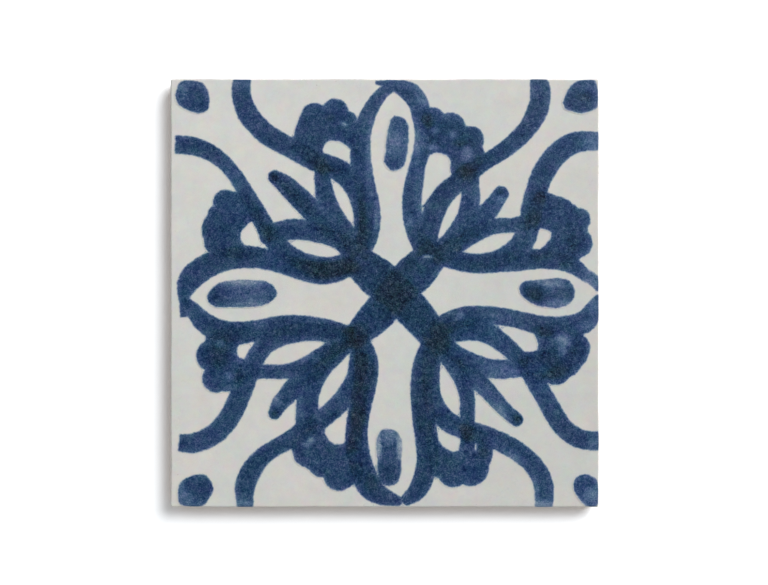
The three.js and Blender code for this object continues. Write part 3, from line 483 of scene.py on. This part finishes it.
def paint_at(at):
    """Edge distance, layers and tone at each point, in millimetres."""
    edge = np.full(len(at), FAR)
    layers = np.zeros(len(at))
    for motif in motifs:
        near = np.flatnonzero(within_box(at, motif["box"]))
        d = np.clip(motif["distance"](at[near]), -2 * FAR, FAR)
        edge[near] = join_softly(edge[near], d)
        layers[near] += np.clip(0.5 - d / LAYER_BLUR, 0, 1)
    tone = np.zeros(len(at))
    for spots, sign in ((POOLS, 1), (WASHES, -1)):
        for x, y, wide, tall, strength, *askew in spots:
            turn = np.radians(askew[0] if askew else 0)
            away = (at - (x, y)) @ np.array([[np.cos(turn), -np.sin(turn)],
                                             [np.sin(turn), np.cos(turn)]])
            tone += sign * strength * np.exp(-((away / (wide, tall)) ** 2).sum(1) ** SPOT_FALL)
    return edge, layers, tone


probe = paint_at(np.array([[5.0, 0.0], [60.0, 60.0]]))
print("edge, layers, tone in the middle and beside a scroll:", np.round(np.array(probe).T, 2).tolist())

# %% [markdown]
# ## The lie of the glaze
#
# Poured glaze is never dead flat: it lies in very shallow waves, and the edge that was wiped and
# handled before firing wanders by a tenth or two of a millimetre. The same two functions shape the
# glaze and everything that lies on it, so nothing sinks in or floats.

# %% Waves of the glaze and of its edge
WAVE = 0.025  # height of the waves
WANDER = 0.13


def face_wave(at):
    """How much higher the glaze lies at each point of the face."""
    x, y = at.T
    return WAVE * (np.sin(x / 7.3 + 0.6 * np.sin(y / 11.0)) * np.sin(y / 8.9 + 1.1)
                   + 0.6 * np.sin((x + y) / 4.7 + 2.0) * np.sin((x - 1.3 * y) / 6.1))


def edge_wander(along, side):
    """How far the tile's edge wanders outwards, along one of its four sides."""
    sway = (np.sin(along / 11.3 + 1.7 * side) + 0.6 * np.sin(along / 4.9 + 2.9 * side)
            + 0.35 * np.sin(along / 1.9 + 0.8 * side))
    return WANDER * sway / 2


print("edge wanders from", round(float(edge_wander(np.linspace(-100, 100, 400), 1).min()), 2),
      "to", round(float(edge_wander(np.linspace(-100, 100, 400), 1).max()), 2), "mm")

# %% [markdown]
# ## Working as by hand
#
# Blender's operators act on what is selected, and the frame's solids are all selected when they have
# just been loaded. So each new piece starts from an empty selection. These short helpers lay down a
# grid, read and move its points, and finish a piece.

# %% Helpers for a piece
def new_grid(name, across, up):
    """A flat grid of the given numbers of cells, from -1 to 1 both ways."""
    bpy.ops.object.select_all(action="DESELECT")
    bpy.ops.mesh.primitive_grid_add(x_subdivisions=across, y_subdivisions=up, size=2,
                                    calc_uvs=False)
    piece = bpy.context.object
    piece.name = name
    piece.data.name = name
    return piece


def points_of(piece):
    points = np.zeros(len(piece.data.vertices) * 3)
    piece.data.vertices.foreach_get("co", points)
    return points.reshape(-1, 3)


def move_points(piece, points):
    piece.data.vertices.foreach_set("co", points.astype(np.float32).ravel())
    piece.data.update()


def note_paint(piece, at, fade=0.0):
    """Writes the paint's edge, layers and tone on the points of a piece."""
    edge, layers, tone = paint_at(at)
    for name, values in (("paint_edge", edge + fade), ("paint_layers", layers),
                         ("paint_tone", tone)):
        attribute = piece.data.attributes.new(name, "FLOAT", "POINT")
        attribute.data.foreach_set("value", np.asarray(values, np.float32))


def give_thickness(piece, thickness):
    solid = piece.modifiers.new("thickness", "SOLIDIFY")
    solid.thickness = thickness
    solid.offset = -1
    bpy.ops.object.modifier_apply(modifier=solid.name)


SMOOTH_ANGLE = np.radians(40)
print("a piece is smooth across edges under", round(float(np.degrees(SMOOTH_ANGLE))), "degrees")

# %% [markdown]
# ## The coat of glaze
#
# The glaze is a thin shell over the face, the rounded edge (the arris) and the top of the sides. It
# could be a bevelled box, but a bevel leaves one huge face on top, with no points to wave and none to
# hold the paint. A grid has them everywhere. Its outer rows are folded down over the arris one by one,
# and the corner cells turn with them round the corner.

# %% Fold a grid over the tile
CELLS = 180
FINER_AT_EDGE = 0.3  # how much smaller the cells get towards the edge
arris_turns = np.radians([22.5, 45, 67.5, 90])
rows = [(0.12, GLAZE_FOOT), (0.05, GLAZE_FOOT + 1), (0, FACE - ARRIS)]
rows += [(ARRIS * (1 - np.cos(turn)), FACE - ARRIS * (1 - np.sin(turn))) for turn in arris_turns]
row_inset, row_height = np.array(rows + [(CORNER, FACE)]).T
FOLDED = len(rows)

glaze = new_grid("glaze_coat", CELLS, CELLS)
start = points_of(glaze)[:, :2]
out = np.abs(start).max(1)
row = np.clip(np.rint((1 - out) * CELLS / 2).astype(int), 0, FOLDED)
flat_edge = 1 - 2 * FOLDED / CELLS


def spread(share):
    """Cells that grow from the edge towards the middle."""
    return share * (1 + FINER_AT_EDGE - FINER_AT_EDGE * share ** 2)


inner = (HALF - CORNER) * spread(np.clip(start / flat_edge, -1, 1))
radius = CORNER - row_inset[row]
past = np.clip((np.abs(start) - flat_edge) / np.maximum(out - flat_edge, 1e-9)[:, None], 0, 1)
turn = np.radians(45) * past.min(1)
first = np.abs(start[:, 0]) >= np.abs(start[:, 1])
arc = np.where(first[:, None], np.stack([np.cos(turn), np.sin(turn)], 1),
               np.stack([np.sin(turn), np.cos(turn)], 1))
folded = inner + np.sign(start) * arc * radius[:, None]
place = np.where((row < FOLDED)[:, None], folded, inner)
height = row_height[row]
print("rows folded over the edge:", FOLDED, "points:", len(place))

# %% [markdown]
# Then the waves: the edge wanders sideways, more or less by side, and the lower rim of the coat runs
# a little further down in some places than in others, as glaze does.

# %% Let the edge wander and the rim run
RUN = 0.35  # how far the rim of the coat runs down
EDGE_ZONE = 7  # the wander fades out over this width
side_of = {"east": 1, "north": 2, "west": 3, "south": 4}
plan = place.copy()
ease = np.clip((np.abs(plan) - (HALF - EDGE_ZONE)) / EDGE_ZONE, 0, 1) ** 2
plan[:, 0] += ease[:, 0] * np.where(plan[:, 0] > 0, edge_wander(plan[:, 1], side_of["east"]),
                                    -edge_wander(plan[:, 1], side_of["west"]))
plan[:, 1] += ease[:, 1] * np.where(plan[:, 1] > 0, edge_wander(plan[:, 0], side_of["north"]),
                                    -edge_wander(plan[:, 0], side_of["south"]))
along = np.arctan2(place[:, 1], place[:, 0]) * HALF
run = RUN * (np.sin(along / 6.1) + 0.5 * np.sin(along / 2.3 + 1)) * (row == 0)
height = height + run + face_wave(place) * (row >= FOLDED - 1)
move_points(glaze, np.column_stack([plan, height]) * MM)

# Partly real thinning and partly a painted highlight: the colour fades on the arris, paler along the
# edge as light catching it would make it
PAINT_FADE_AND_HIGHLIGHT_AT = 9.85  # on the arris the colour thins out below this height
FADE_AND_HIGHLIGHT_RATE = 5  # how fast it does
GLAZE_THICKNESS = 0.35
note_paint(glaze, place, fade=np.clip(PAINT_FADE_AND_HIGHLIGHT_AT - height, 0, None) * FADE_AND_HIGHLIGHT_RATE)
give_thickness(glaze, GLAZE_THICKNESS * MM)
bpy.ops.object.shade_smooth_by_angle(angle=SMOOTH_ANGLE)
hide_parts("white_glaze")
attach(glaze, "root")
print("glaze triangles:", sum(len(face.vertices) - 2 for face in glaze.data.polygons))

# %% [markdown]
# ## A film of cobalt
#
# Each stroke lies on the glaze as a film of its own. It starts as a grid over the stroke's box. Points
# near the film's rim slide onto it, a cell that has lost one corner is cut across, and what lies
# outside is deleted, so the rim is smooth however the stroke bends. The film is a little wider than
# the colour, because the colour ends softly within it.

# %% Make one film
FILM_CELL = 0.75  # width of a grid cell
FILM_RIM = 0.5  # how far a film reaches past the colour's edge
FILM_STEP = 0.003  # each later stroke lies this much higher
FILM_BASE = 0.02  # height of the first film over the glaze
FILM_THICKNESS = 0.015
PROBE = 0.05  # step for measuring a slope
FLAT_MARGIN = 0.02  # a film ends this far short of the arris


def film_distance(distance, at):
    """Distance to a film's rim: the stroke's, but no further out than the flat of the face."""
    off_face = np.abs(at).max(1) - (FLAT - FLAT_MARGIN)
    return np.maximum(distance(at) - FILM_RIM, off_face)


def slide_to_rim(distance, at):
    """Points near the rim, moved onto it, and which points are left outside."""
    d = film_distance(distance, at)
    slope = np.stack([film_distance(distance, at + (PROBE, 0)) - d,
                      film_distance(distance, at + (0, PROBE)) - d], 1) / PROBE
    steep = np.maximum((slope ** 2).sum(1), 0.2)
    near = np.abs(d) < FILM_CELL * 0.5
    moved = at - np.where(near, d / steep, 0)[:, None] * slope
    return moved, (d > 0) & ~near


def trim_film(piece, outside):
    """Cuts off the points that are outside, and the corners of the cells that they leave."""
    mesh = bmesh.new()
    mesh.from_mesh(piece.data)
    mesh.verts.ensure_lookup_table()
    for face in list(mesh.faces):
        gone = [loop for loop in face.loops if outside[loop.vert.index]]
        if len(gone) == 1:
            bmesh.utils.face_split(face, gone[0].link_loop_prev.vert, gone[0].link_loop_next.vert)
    bmesh.ops.delete(mesh, geom=[v for v in mesh.verts if outside[v.index]], context="VERTS")
    mesh.to_mesh(piece.data)
    mesh.free()


def lay_film(name, distance, box, order):
    size = box[1] - box[0]
    across, up = np.ceil(size / FILM_CELL).astype(int)
    film = new_grid(name, int(across), int(up))
    at = box[0] + (points_of(film)[:, :2] + 1) / 2 * size
    at, outside = slide_to_rim(distance, at)
    move_points(film, np.column_stack([at, np.zeros(len(at))]))
    trim_film(film, outside)
    at = points_of(film)[:, :2]
    height = FACE + face_wave(at) + FILM_BASE + FILM_STEP * order
    move_points(film, np.column_stack([at, height]) * MM)
    note_paint(film, at)
    give_thickness(film, FILM_THICKNESS * MM)
    bpy.ops.object.shade_smooth_by_angle(angle=SMOOTH_ANGLE)
    return film


print("a film is", FILM_THICKNESS, "mm thick and its cells are", FILM_CELL, "mm wide")

# %% [markdown]
# The two strokes of the cross are one piece in the frame, because neither was trimmed against the
# other, so they share a film too. All the others have one each, named after their solid.


def cross_distance(at):
    return np.minimum(*(motif["distance"](at) for motif in motifs[:2]))


cross_box = (np.minimum(motifs[0]["box"][0], motifs[1]["box"][0]),
             np.maximum(motifs[0]["box"][1], motifs[1]["box"][1]))
to_lay = [("centre_cross", cross_distance, cross_box)]
to_lay += [(motif["name"], motif["distance"], motif["box"]) for motif in motifs[2:]]

films = []
for order, (name, distance, box) in enumerate(to_lay):
    film = lay_film(name + "_film", distance, box, order)
    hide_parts(name)
    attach(film, "root")
    films.append(film)
print("films:", len(films), "triangles:",
      sum(len(face.vertices) - 2 for film in films for face in film.data.polygons))

# %% [markdown]
# ## Shader maths in plain Python
#
# A material is a net of nodes, and sums wired by hand are hard to read. This small class wraps a
# node's output, so that `noise * 2 - 1` adds the Math nodes by itself. Colours go through Mix nodes
# and vectors through Vector Math. Every other node comes from the one method `node`.

# %% A wire that can be calculated with
class Wire:
    """An output socket that sums can be written with."""

    def __init__(self, maker, socket):
        self.maker, self.socket = maker, socket

    def _sum(self, operation, other, turned=False):
        a, b = (other, self) if turned else (self, other)
        kinds = {wire.socket.type for wire in (a, b) if isinstance(wire, Wire)}
        if "RGBA" in kinds:
            return self.maker.node("ShaderNodeMix", {"data_type": "RGBA", "blend_type": operation},
                                   {0: 1.0, 6: a, 7: b}, out=2)
        kind = "ShaderNodeVectorMath" if "VECTOR" in kinds else "ShaderNodeMath"
        return self.maker.node(kind, {"operation": operation}, {0: a, 1: b})

    def __add__(self, other):
        return self._sum("ADD", other)

    def __radd__(self, other):
        return self._sum("ADD", other, True)

    def __sub__(self, other):
        return self._sum("SUBTRACT", other)

    def __rsub__(self, other):
        return self._sum("SUBTRACT", other, True)

    def __mul__(self, other):
        return self._sum("MULTIPLY", other)

    def __rmul__(self, other):
        return self._sum("MULTIPLY", other, True)

    def __truediv__(self, other):
        return self._sum("DIVIDE", other)


class Net:
    """A net of nodes, and the one method that adds nodes to it."""

    def __init__(self, tree):
        self.tree = tree

    def node(self, kind, settings=None, inputs=None, out=0):
        node = self.tree.nodes.new(kind)
        for key, value in (settings or {}).items():
            if key == "stops":
                self._set_stops(node.color_ramp, value)
            else:
                setattr(node, key, value)
        for key, value in (inputs or {}).items():
            self.feed(node.inputs[key], value)
        return Wire(self, node.outputs[out])

    def feed(self, socket, value):
        if isinstance(value, Wire):
            self.tree.links.new(value.socket, socket)
        elif socket.type == "RGBA":
            socket.default_value = (*((value,) * 3 if np.isscalar(value) else value[:3]), 1)
        elif socket.type == "VECTOR" and np.isscalar(value):
            socket.default_value = (value,) * 3
        else:
            socket.default_value = value

    @staticmethod
    def _set_stops(ramp, stops):
        while len(ramp.elements) < len(stops):
            ramp.elements.new(1)
        for element, (position, colour) in zip(ramp.elements, stops):
            element.position = position
            element.color = (*colour[:3], 1)


class Finish(Net):
    """A material: a net that feeds one shader."""

    def __init__(self, name):
        self.material = bpy.data.materials.new(name)
        self.material.use_nodes = True
        super().__init__(self.material.node_tree)
        self.shader = self.tree.nodes["Principled BSDF"]

    def set(self, **inputs):
        for name, value in inputs.items():
            self.feed(self.shader.inputs[name.replace("_", " ")], value)


print("a finish is a net of nodes:", issubclass(Finish, Net))

# %% [markdown]
# Colours are noted as they look on a screen, from 0 to 255, and Blender works with linear light, so
# one function turns the first into the second. The others are used again and again: a soft step, a
# value kept between two limits, a noise around nought, the same in three colours, and a mix of two
# colours.

# %% Small words for finishes
def screen(red, green, blue):
    share = np.array([red, green, blue]) / 255
    return tuple(np.where(share <= 0.04045, share / 12.92, ((share + 0.055) / 1.055) ** 2.4).tolist())


def tile_point(finish):
    """Where on the tile a point lies, in metres from its middle."""
    return finish.node("ShaderNodeTexCoord", out="Object")


def soft_step(finish, value, start, end, low_value=0.0, high_value=1.0):
    return finish.node("ShaderNodeMapRange", {"interpolation_type": "SMOOTHSTEP"},
                       {"Value": value, "From Min": start, "From Max": end,
                        "To Min": low_value, "To Max": high_value})


def keep_between(finish, value, lowest=0.0, highest=1.0):
    return finish.node("ShaderNodeClamp", {}, {0: value, 1: lowest, 2: highest})


def noise(finish, size_mm, detail=2.0, roughness=0.5, offset=0.0, curl=0.0, out="Fac"):
    """Noise around nought, with features of about size_mm."""
    spot = tile_point(finish)
    if offset:
        spot = spot + (offset * MM, offset * MM, 0.0)
    return finish.node("ShaderNodeTexNoise", {},
                       {"Vector": spot, "Scale": 1 / (size_mm * MM), "Detail": detail,
                        "Roughness": roughness, "Distortion": curl}, out=out) - 0.5


def mix(finish, share, a, b, way="MIX"):
    return finish.node("ShaderNodeMix", {"data_type": "RGBA", "blend_type": way},
                       {0: share, 6: a, 7: b}, out=2)


print("cobalt in linear light:", [round(part, 3) for part in screen(54, 77, 117)])

# %% [markdown]
# ## The white of the glaze
#
# Tin glaze is a warm, faintly clouded white, thinner and greyer where it rounds the edge. A single
# colour would look like plastic. The white is painted a little paler at the upper left and darker to
# the right, as painted light falling from the upper left. A noise with three colours gives each
# spot a tinge that is hardly seen. A sharper noise leaves a few tiny specks, most of them near the rim.

# %% White glaze
GLAZE_WHITE = screen(209, 207, 202)
GLAZE_COOL = screen(204, 206, 202)
GLAZE_THIN = screen(168, 162, 152)
SPECK = screen(126, 116, 104)
# painted light: the white is painted darker towards the right and paler towards the top, as light from
# the upper left would make it
PAINTED_LIGHT_EAST = -0.052  # how much brighter the glaze gets from the middle to that side
PAINTED_LIGHT_NORTH = 0.017


def xy_of(finish):
    """Both coordinates of a point on the face, as shares of half the tile's side."""
    return [finish.node("ShaderNodeSeparateXYZ", {}, {0: tile_point(finish)}, out=axis) / (HALF * MM)
            for axis in (0, 1)]


def rim_of(finish):
    """Distance to the tile's edge in millimetres."""
    across = [finish.node("ShaderNodeMath", {"operation": "ABSOLUTE"}, {0: part})
              for part in xy_of(finish)]
    far = finish.node("ShaderNodeMath", {"operation": "MAXIMUM"}, {0: across[0], 1: across[1]})
    return HALF - far * HALF


def white_glaze(finish):
    east, north = xy_of(finish)
    cloud = soft_step(finish, noise(finish, 26, 3), -0.16, 0.16)
    # painted light across the face, paler at the upper left
    white = mix(finish, cloud, GLAZE_WHITE, GLAZE_COOL) * (1 + east * PAINTED_LIGHT_EAST + north * PAINTED_LIGHT_NORTH)
    white = white * (1 + noise(finish, 6, 4, 0.75, 12, out="Color") * 0.28)
    white = white * (1 + noise(finish, 14, 3, 0.5, 5) * 0.12)
    rim = rim_of(finish)
    thin = soft_step(finish, rim + noise(finish, 1.6, 3) * 1.2, 0.5, 0.0)
    white = mix(finish, thin * 0.3, white, GLAZE_THIN)
    speck = soft_step(finish, noise(finish, 1.1, 1, 0.5, 40), 0.27, 0.31)
    near_edge = soft_step(finish, rim, 6.0, 0.5, 0.08, 0.8)
    return mix(finish, speck * near_edge, white, SPECK)


print("glaze white:", [round(part, 3) for part in GLAZE_WHITE])

# %% [markdown]
# ## The cobalt
#
# How much cobalt lies at a spot decides its colour: a thin wash is a pale steel blue, the plain stroke
# a deep blue, and where colour lies thick it turns to a greenish black. So the strength comes first,
# from the soft and ragged edge, the layers, the pools and washes, and a drift over some centimetres. The
# grain of the pigment is kept apart from it. It makes the blue lighter or darker, but not less blue.

# %% Strength and grain of the paint
PLAIN = 0.74  # strength of one ordinary layer


def paint_strength(finish):
    edge = finish.node("ShaderNodeAttribute", {"attribute_name": "paint_edge"}, out="Fac")
    layers = finish.node("ShaderNodeAttribute", {"attribute_name": "paint_layers"}, out="Fac")
    tone = finish.node("ShaderNodeAttribute", {"attribute_name": "paint_tone"}, out="Fac")
    ragged = edge + noise(finish, 0.8, 2) * 0.5 + noise(finish, 2.6, 2) * 0.9
    cover = soft_step(finish, ragged, 0.5, -0.62)
    halo = soft_step(finish, edge, 1.8, 0.1) * 0.03
    extra = keep_between(finish, layers - 1, 0.0, 1.6) * 0.045
    rim = soft_step(finish, ragged, -3.2, 0.3) * -0.085
    drift = noise(finish, 22, 2) * 0.12
    thick = keep_between(finish, (extra + tone) * 8)
    grain = (noise(finish, 0.5, 1, 0.5) * 0.46 + noise(finish, 0.9, 2, 0.6, 33, 1.4) * 0.57
             + noise(finish, 2.0, 2, 0.6, 15, 0.8) * 0.42) * (0.9 + thick * 0.2)
    grain = grain + noise(finish, 6, 2) * 0.15
    clots = soft_step(finish, noise(finish, 0.9, 2, 0.6, 71, 1.5), 0.02, 0.14, -0.04, 0.1) * thick
    strength = keep_between(finish, (PLAIN + extra + tone + rim + drift) * cover + halo)
    return strength, (grain + clots) * cover, cover


print("one layer has the strength", PLAIN)

# %% [markdown]
# A ramp turns strength into colour. It holds the colours as they look on a screen, where equal steps
# look equal, so the grain can be taken off them by plain subtraction; a gamma node then turns the sum
# into linear light. The blue leans a little to violet in some places and to green in others. Where
# paint lies thick, the satin surface is a little rougher than the bare glaze.

# %% Painted glaze
COBALT_STOPS = [
    (0.0, (208, 208, 204)), (0.2, (158, 168, 178)), (0.42, (110, 128, 151)), (0.57, (77, 101, 131)),
    (0.65, (63, 86, 120)), (0.71, (53, 77, 110)), (0.745, (46, 70, 103)), (0.775, (40, 65, 97)),
    (0.8, (33, 60, 91)), (0.83, (28, 55, 81)), (0.86, (25, 50, 72)), (0.9, (21, 43, 62)),
    (1.0, (12, 25, 37)),
]
SCREEN_GAMMA = 2.2
GRAIN_REACH = (0.9, 0.73, 0.69)  # how far the grain darkens red, green and blue

painted = Finish("painted_tin_glaze")
strength, grain, cover = paint_strength(painted)
stops = [(at, [part / 255 for part in colour]) for at, colour in COBALT_STOPS]
blue = painted.node("ShaderNodeValToRGB", {"stops": stops}, {0: strength})
lean = noise(painted, 6, 4, 0.75, 23, out="Color") * (0.03, 0.15, 0.03)
warmth = noise(painted, 20, 2, 0.5, 47, out="Color") * (0.05, 0.015, 0.05)
speckle = mix(painted, 1.0, grain, GRAIN_REACH, "MULTIPLY")
blue = painted.node("ShaderNodeMix",
                    {"data_type": "RGBA", "blend_type": "SUBTRACT", "clamp_result": True},
                    {0: 1.0, 6: blue + lean + warmth, 7: speckle}, out=2)
blue = painted.node("ShaderNodeGamma", {}, {0: blue, 1: SCREEN_GAMMA})
white = white_glaze(painted)
has_paint = soft_step(painted, strength, 0.0, 0.12)
painted.set(Base_Color=mix(painted, has_paint, white, blue))
painted.shader.inputs["Specular IOR Level"].default_value = 0.36
painted.set(Roughness=0.28 + noise(painted, 4, 3) * 0.1 + cover * 0.03)
peel = noise(painted, 3.2, 3) * 0.5 + noise(painted, 0.7, 2) * 0.14
pits = soft_step(painted, noise(painted, 1.7, 1, 0.5, 55), 0.28, 0.34) * -1.0
painted.set(Normal=painted.node("ShaderNodeBump", {}, {"Strength": 0.25, "Distance": 0.1 * MM,
                                                       "Height": peel + pits}))
for piece in [glaze, *films]:
    piece.data.materials.clear()
    piece.data.materials.append(painted.material)
print("painted glaze nodes:", len(painted.tree.nodes))

# %% [markdown]
# ## The fired clay
#
# The body keeps its solid from the frame, because pressed clay is as plain as that. Its finish is a
# buff earthenware, mottled from the fire, with darker and paler grains in it and small open pores. It
# is no redder than this, because strongly coloured clay would tinge the shadow beside the tile.

# %% Buff biscuit
clay = Finish("buff_biscuit")
fire = soft_step(clay, noise(clay, 24, 4, 0.6), -0.2, 0.2)
body = mix(clay, fire, screen(200, 172, 147), screen(185, 155, 131))
body = mix(clay, soft_step(clay, noise(clay, 2.4, 4, 0.7), -0.25, 0.25) * 0.5, body,
           screen(213, 190, 168))
grog = soft_step(clay, noise(clay, 1.2, 1, 0.5, 31), 0.2, 0.26)
body = mix(clay, grog * 0.6, body, screen(132, 92, 66))
pores = soft_step(clay, noise(clay, 0.8, 1, 0.5, 12), 0.24, 0.3)
body = mix(clay, pores * 0.5, body, screen(112, 84, 64))
clay.set(Base_Color=body, Roughness=0.86 + noise(clay, 3, 3) * 0.12)
clay.set(Normal=clay.node("ShaderNodeBump", {}, {
    "Strength": 0.5, "Distance": 0.15 * MM,
    "Height": noise(clay, 1.5, 4, 0.65) * 0.7 - pores * 0.8}))
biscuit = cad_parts["biscuit_body"]
biscuit.data.materials.clear()
biscuit.data.materials.append(clay.material)
print("biscuit nodes:", len(clay.tree.nodes))

# %% [markdown]
# ## Floor, light and camera
#
# The photograph looks straight down on a white table. A real white floor would need so much light that
# the glaze would burn out, so the floor only looks white to the camera: its colour is raised for camera
# rays, and it still takes the tile's shadow. It is a little cool, against the warm light that
# the clay throws on it. One soft lamp from the upper right throws that
# shadow to the lower left, and an even grey sky fills the rest.

# %% Floor and light
FLOOR_SIDE = 3.0
FLOOR_LIT = (0.8, 0.8, 0.8)  # for the light that it throws back
FLOOR_SEEN = (1.32, 1.35, 1.38)  # for the camera
bpy.ops.object.select_all(action="DESELECT")
bpy.ops.mesh.primitive_plane_add(size=FLOOR_SIDE)
floor = bpy.context.object
floor.name = "floor"
floor_finish = Finish("white_floor")
rays = [floor_finish.node("ShaderNodeLightPath", out=name)
        for name in ("Is Camera Ray", "Is Glossy Ray", "Is Transmission Ray")]
seen = floor_finish.node("ShaderNodeClamp", {}, {0: rays[0] + rays[1] + rays[2]})
floor_finish.set(Base_Color=mix(floor_finish, seen, FLOOR_LIT, FLOOR_SEEN), Roughness=1.0)
floor_finish.shader.inputs["Specular IOR Level"].default_value = 0
floor.data.materials.append(floor_finish.material)

SKY = 0.47  # brightness of the sky's ring; 1 is white
CEILING = 0.04  # brightness straight above
CEILING_RING = (0.9, 0.76)  # upward part of a ray where one turns into the other
sky = bpy.data.worlds.new("sky")
sky.use_nodes = True
bpy.context.scene.world = sky
sky_net = Net(sky.node_tree)
direction = sky_net.node("ShaderNodeTexCoord", out="Generated")
upward = sky_net.node("ShaderNodeSeparateXYZ", {}, {0: direction}, out=2)
background = sky.node_tree.nodes["Background"]
sky_net.feed(background.inputs["Strength"], soft_step(sky_net, upward, *CEILING_RING, CEILING, SKY))
sky_net.feed(background.inputs["Color"], (1, 1, 1))

LAMP_AT = (1.8, 1.8, 2.5)
LAMP_SIDE = 2.4
LAMP_WATTS = 133
bpy.ops.object.light_add(type="AREA", location=LAMP_AT)
lamp = bpy.context.object
lamp.name = "soft_lamp"
lamp.data.shape = "SQUARE"
lamp.data.size = LAMP_SIDE
lamp.data.energy = LAMP_WATTS
lamp.rotation_euler = lamp.location.to_track_quat("Z", "Y").to_euler()
print("lamp at", [round(v, 2) for v in lamp.location])

# %% [markdown]
# The camera hangs above the tile, a fraction of a millimetre off its middle. Its distance follows from
# how wide the tile is in the photograph: 428 of 768 pixels.

# %% Camera
TILE_PIXELS = 428.2
PICTURE_WIDTH = 768
LENS = 85
SENSOR = 36
ASIDE = (-0.33, 0.28)  # where the camera hangs, from the middle of the tile
view_width = 2 * HALF * MM * PICTURE_WIDTH / TILE_PIXELS
distance = view_width * LENS / SENSOR
bpy.ops.object.camera_add(location=(ASIDE[0] * MM, ASIDE[1] * MM, FACE * MM + distance))
camera = bpy.context.object
camera.data.lens = LENS
camera.data.sensor_width = SENSOR
bpy.context.scene.camera = camera
bpy.context.scene.view_settings.view_transform = "Standard"
print("camera", round(distance, 3), "m above the face")
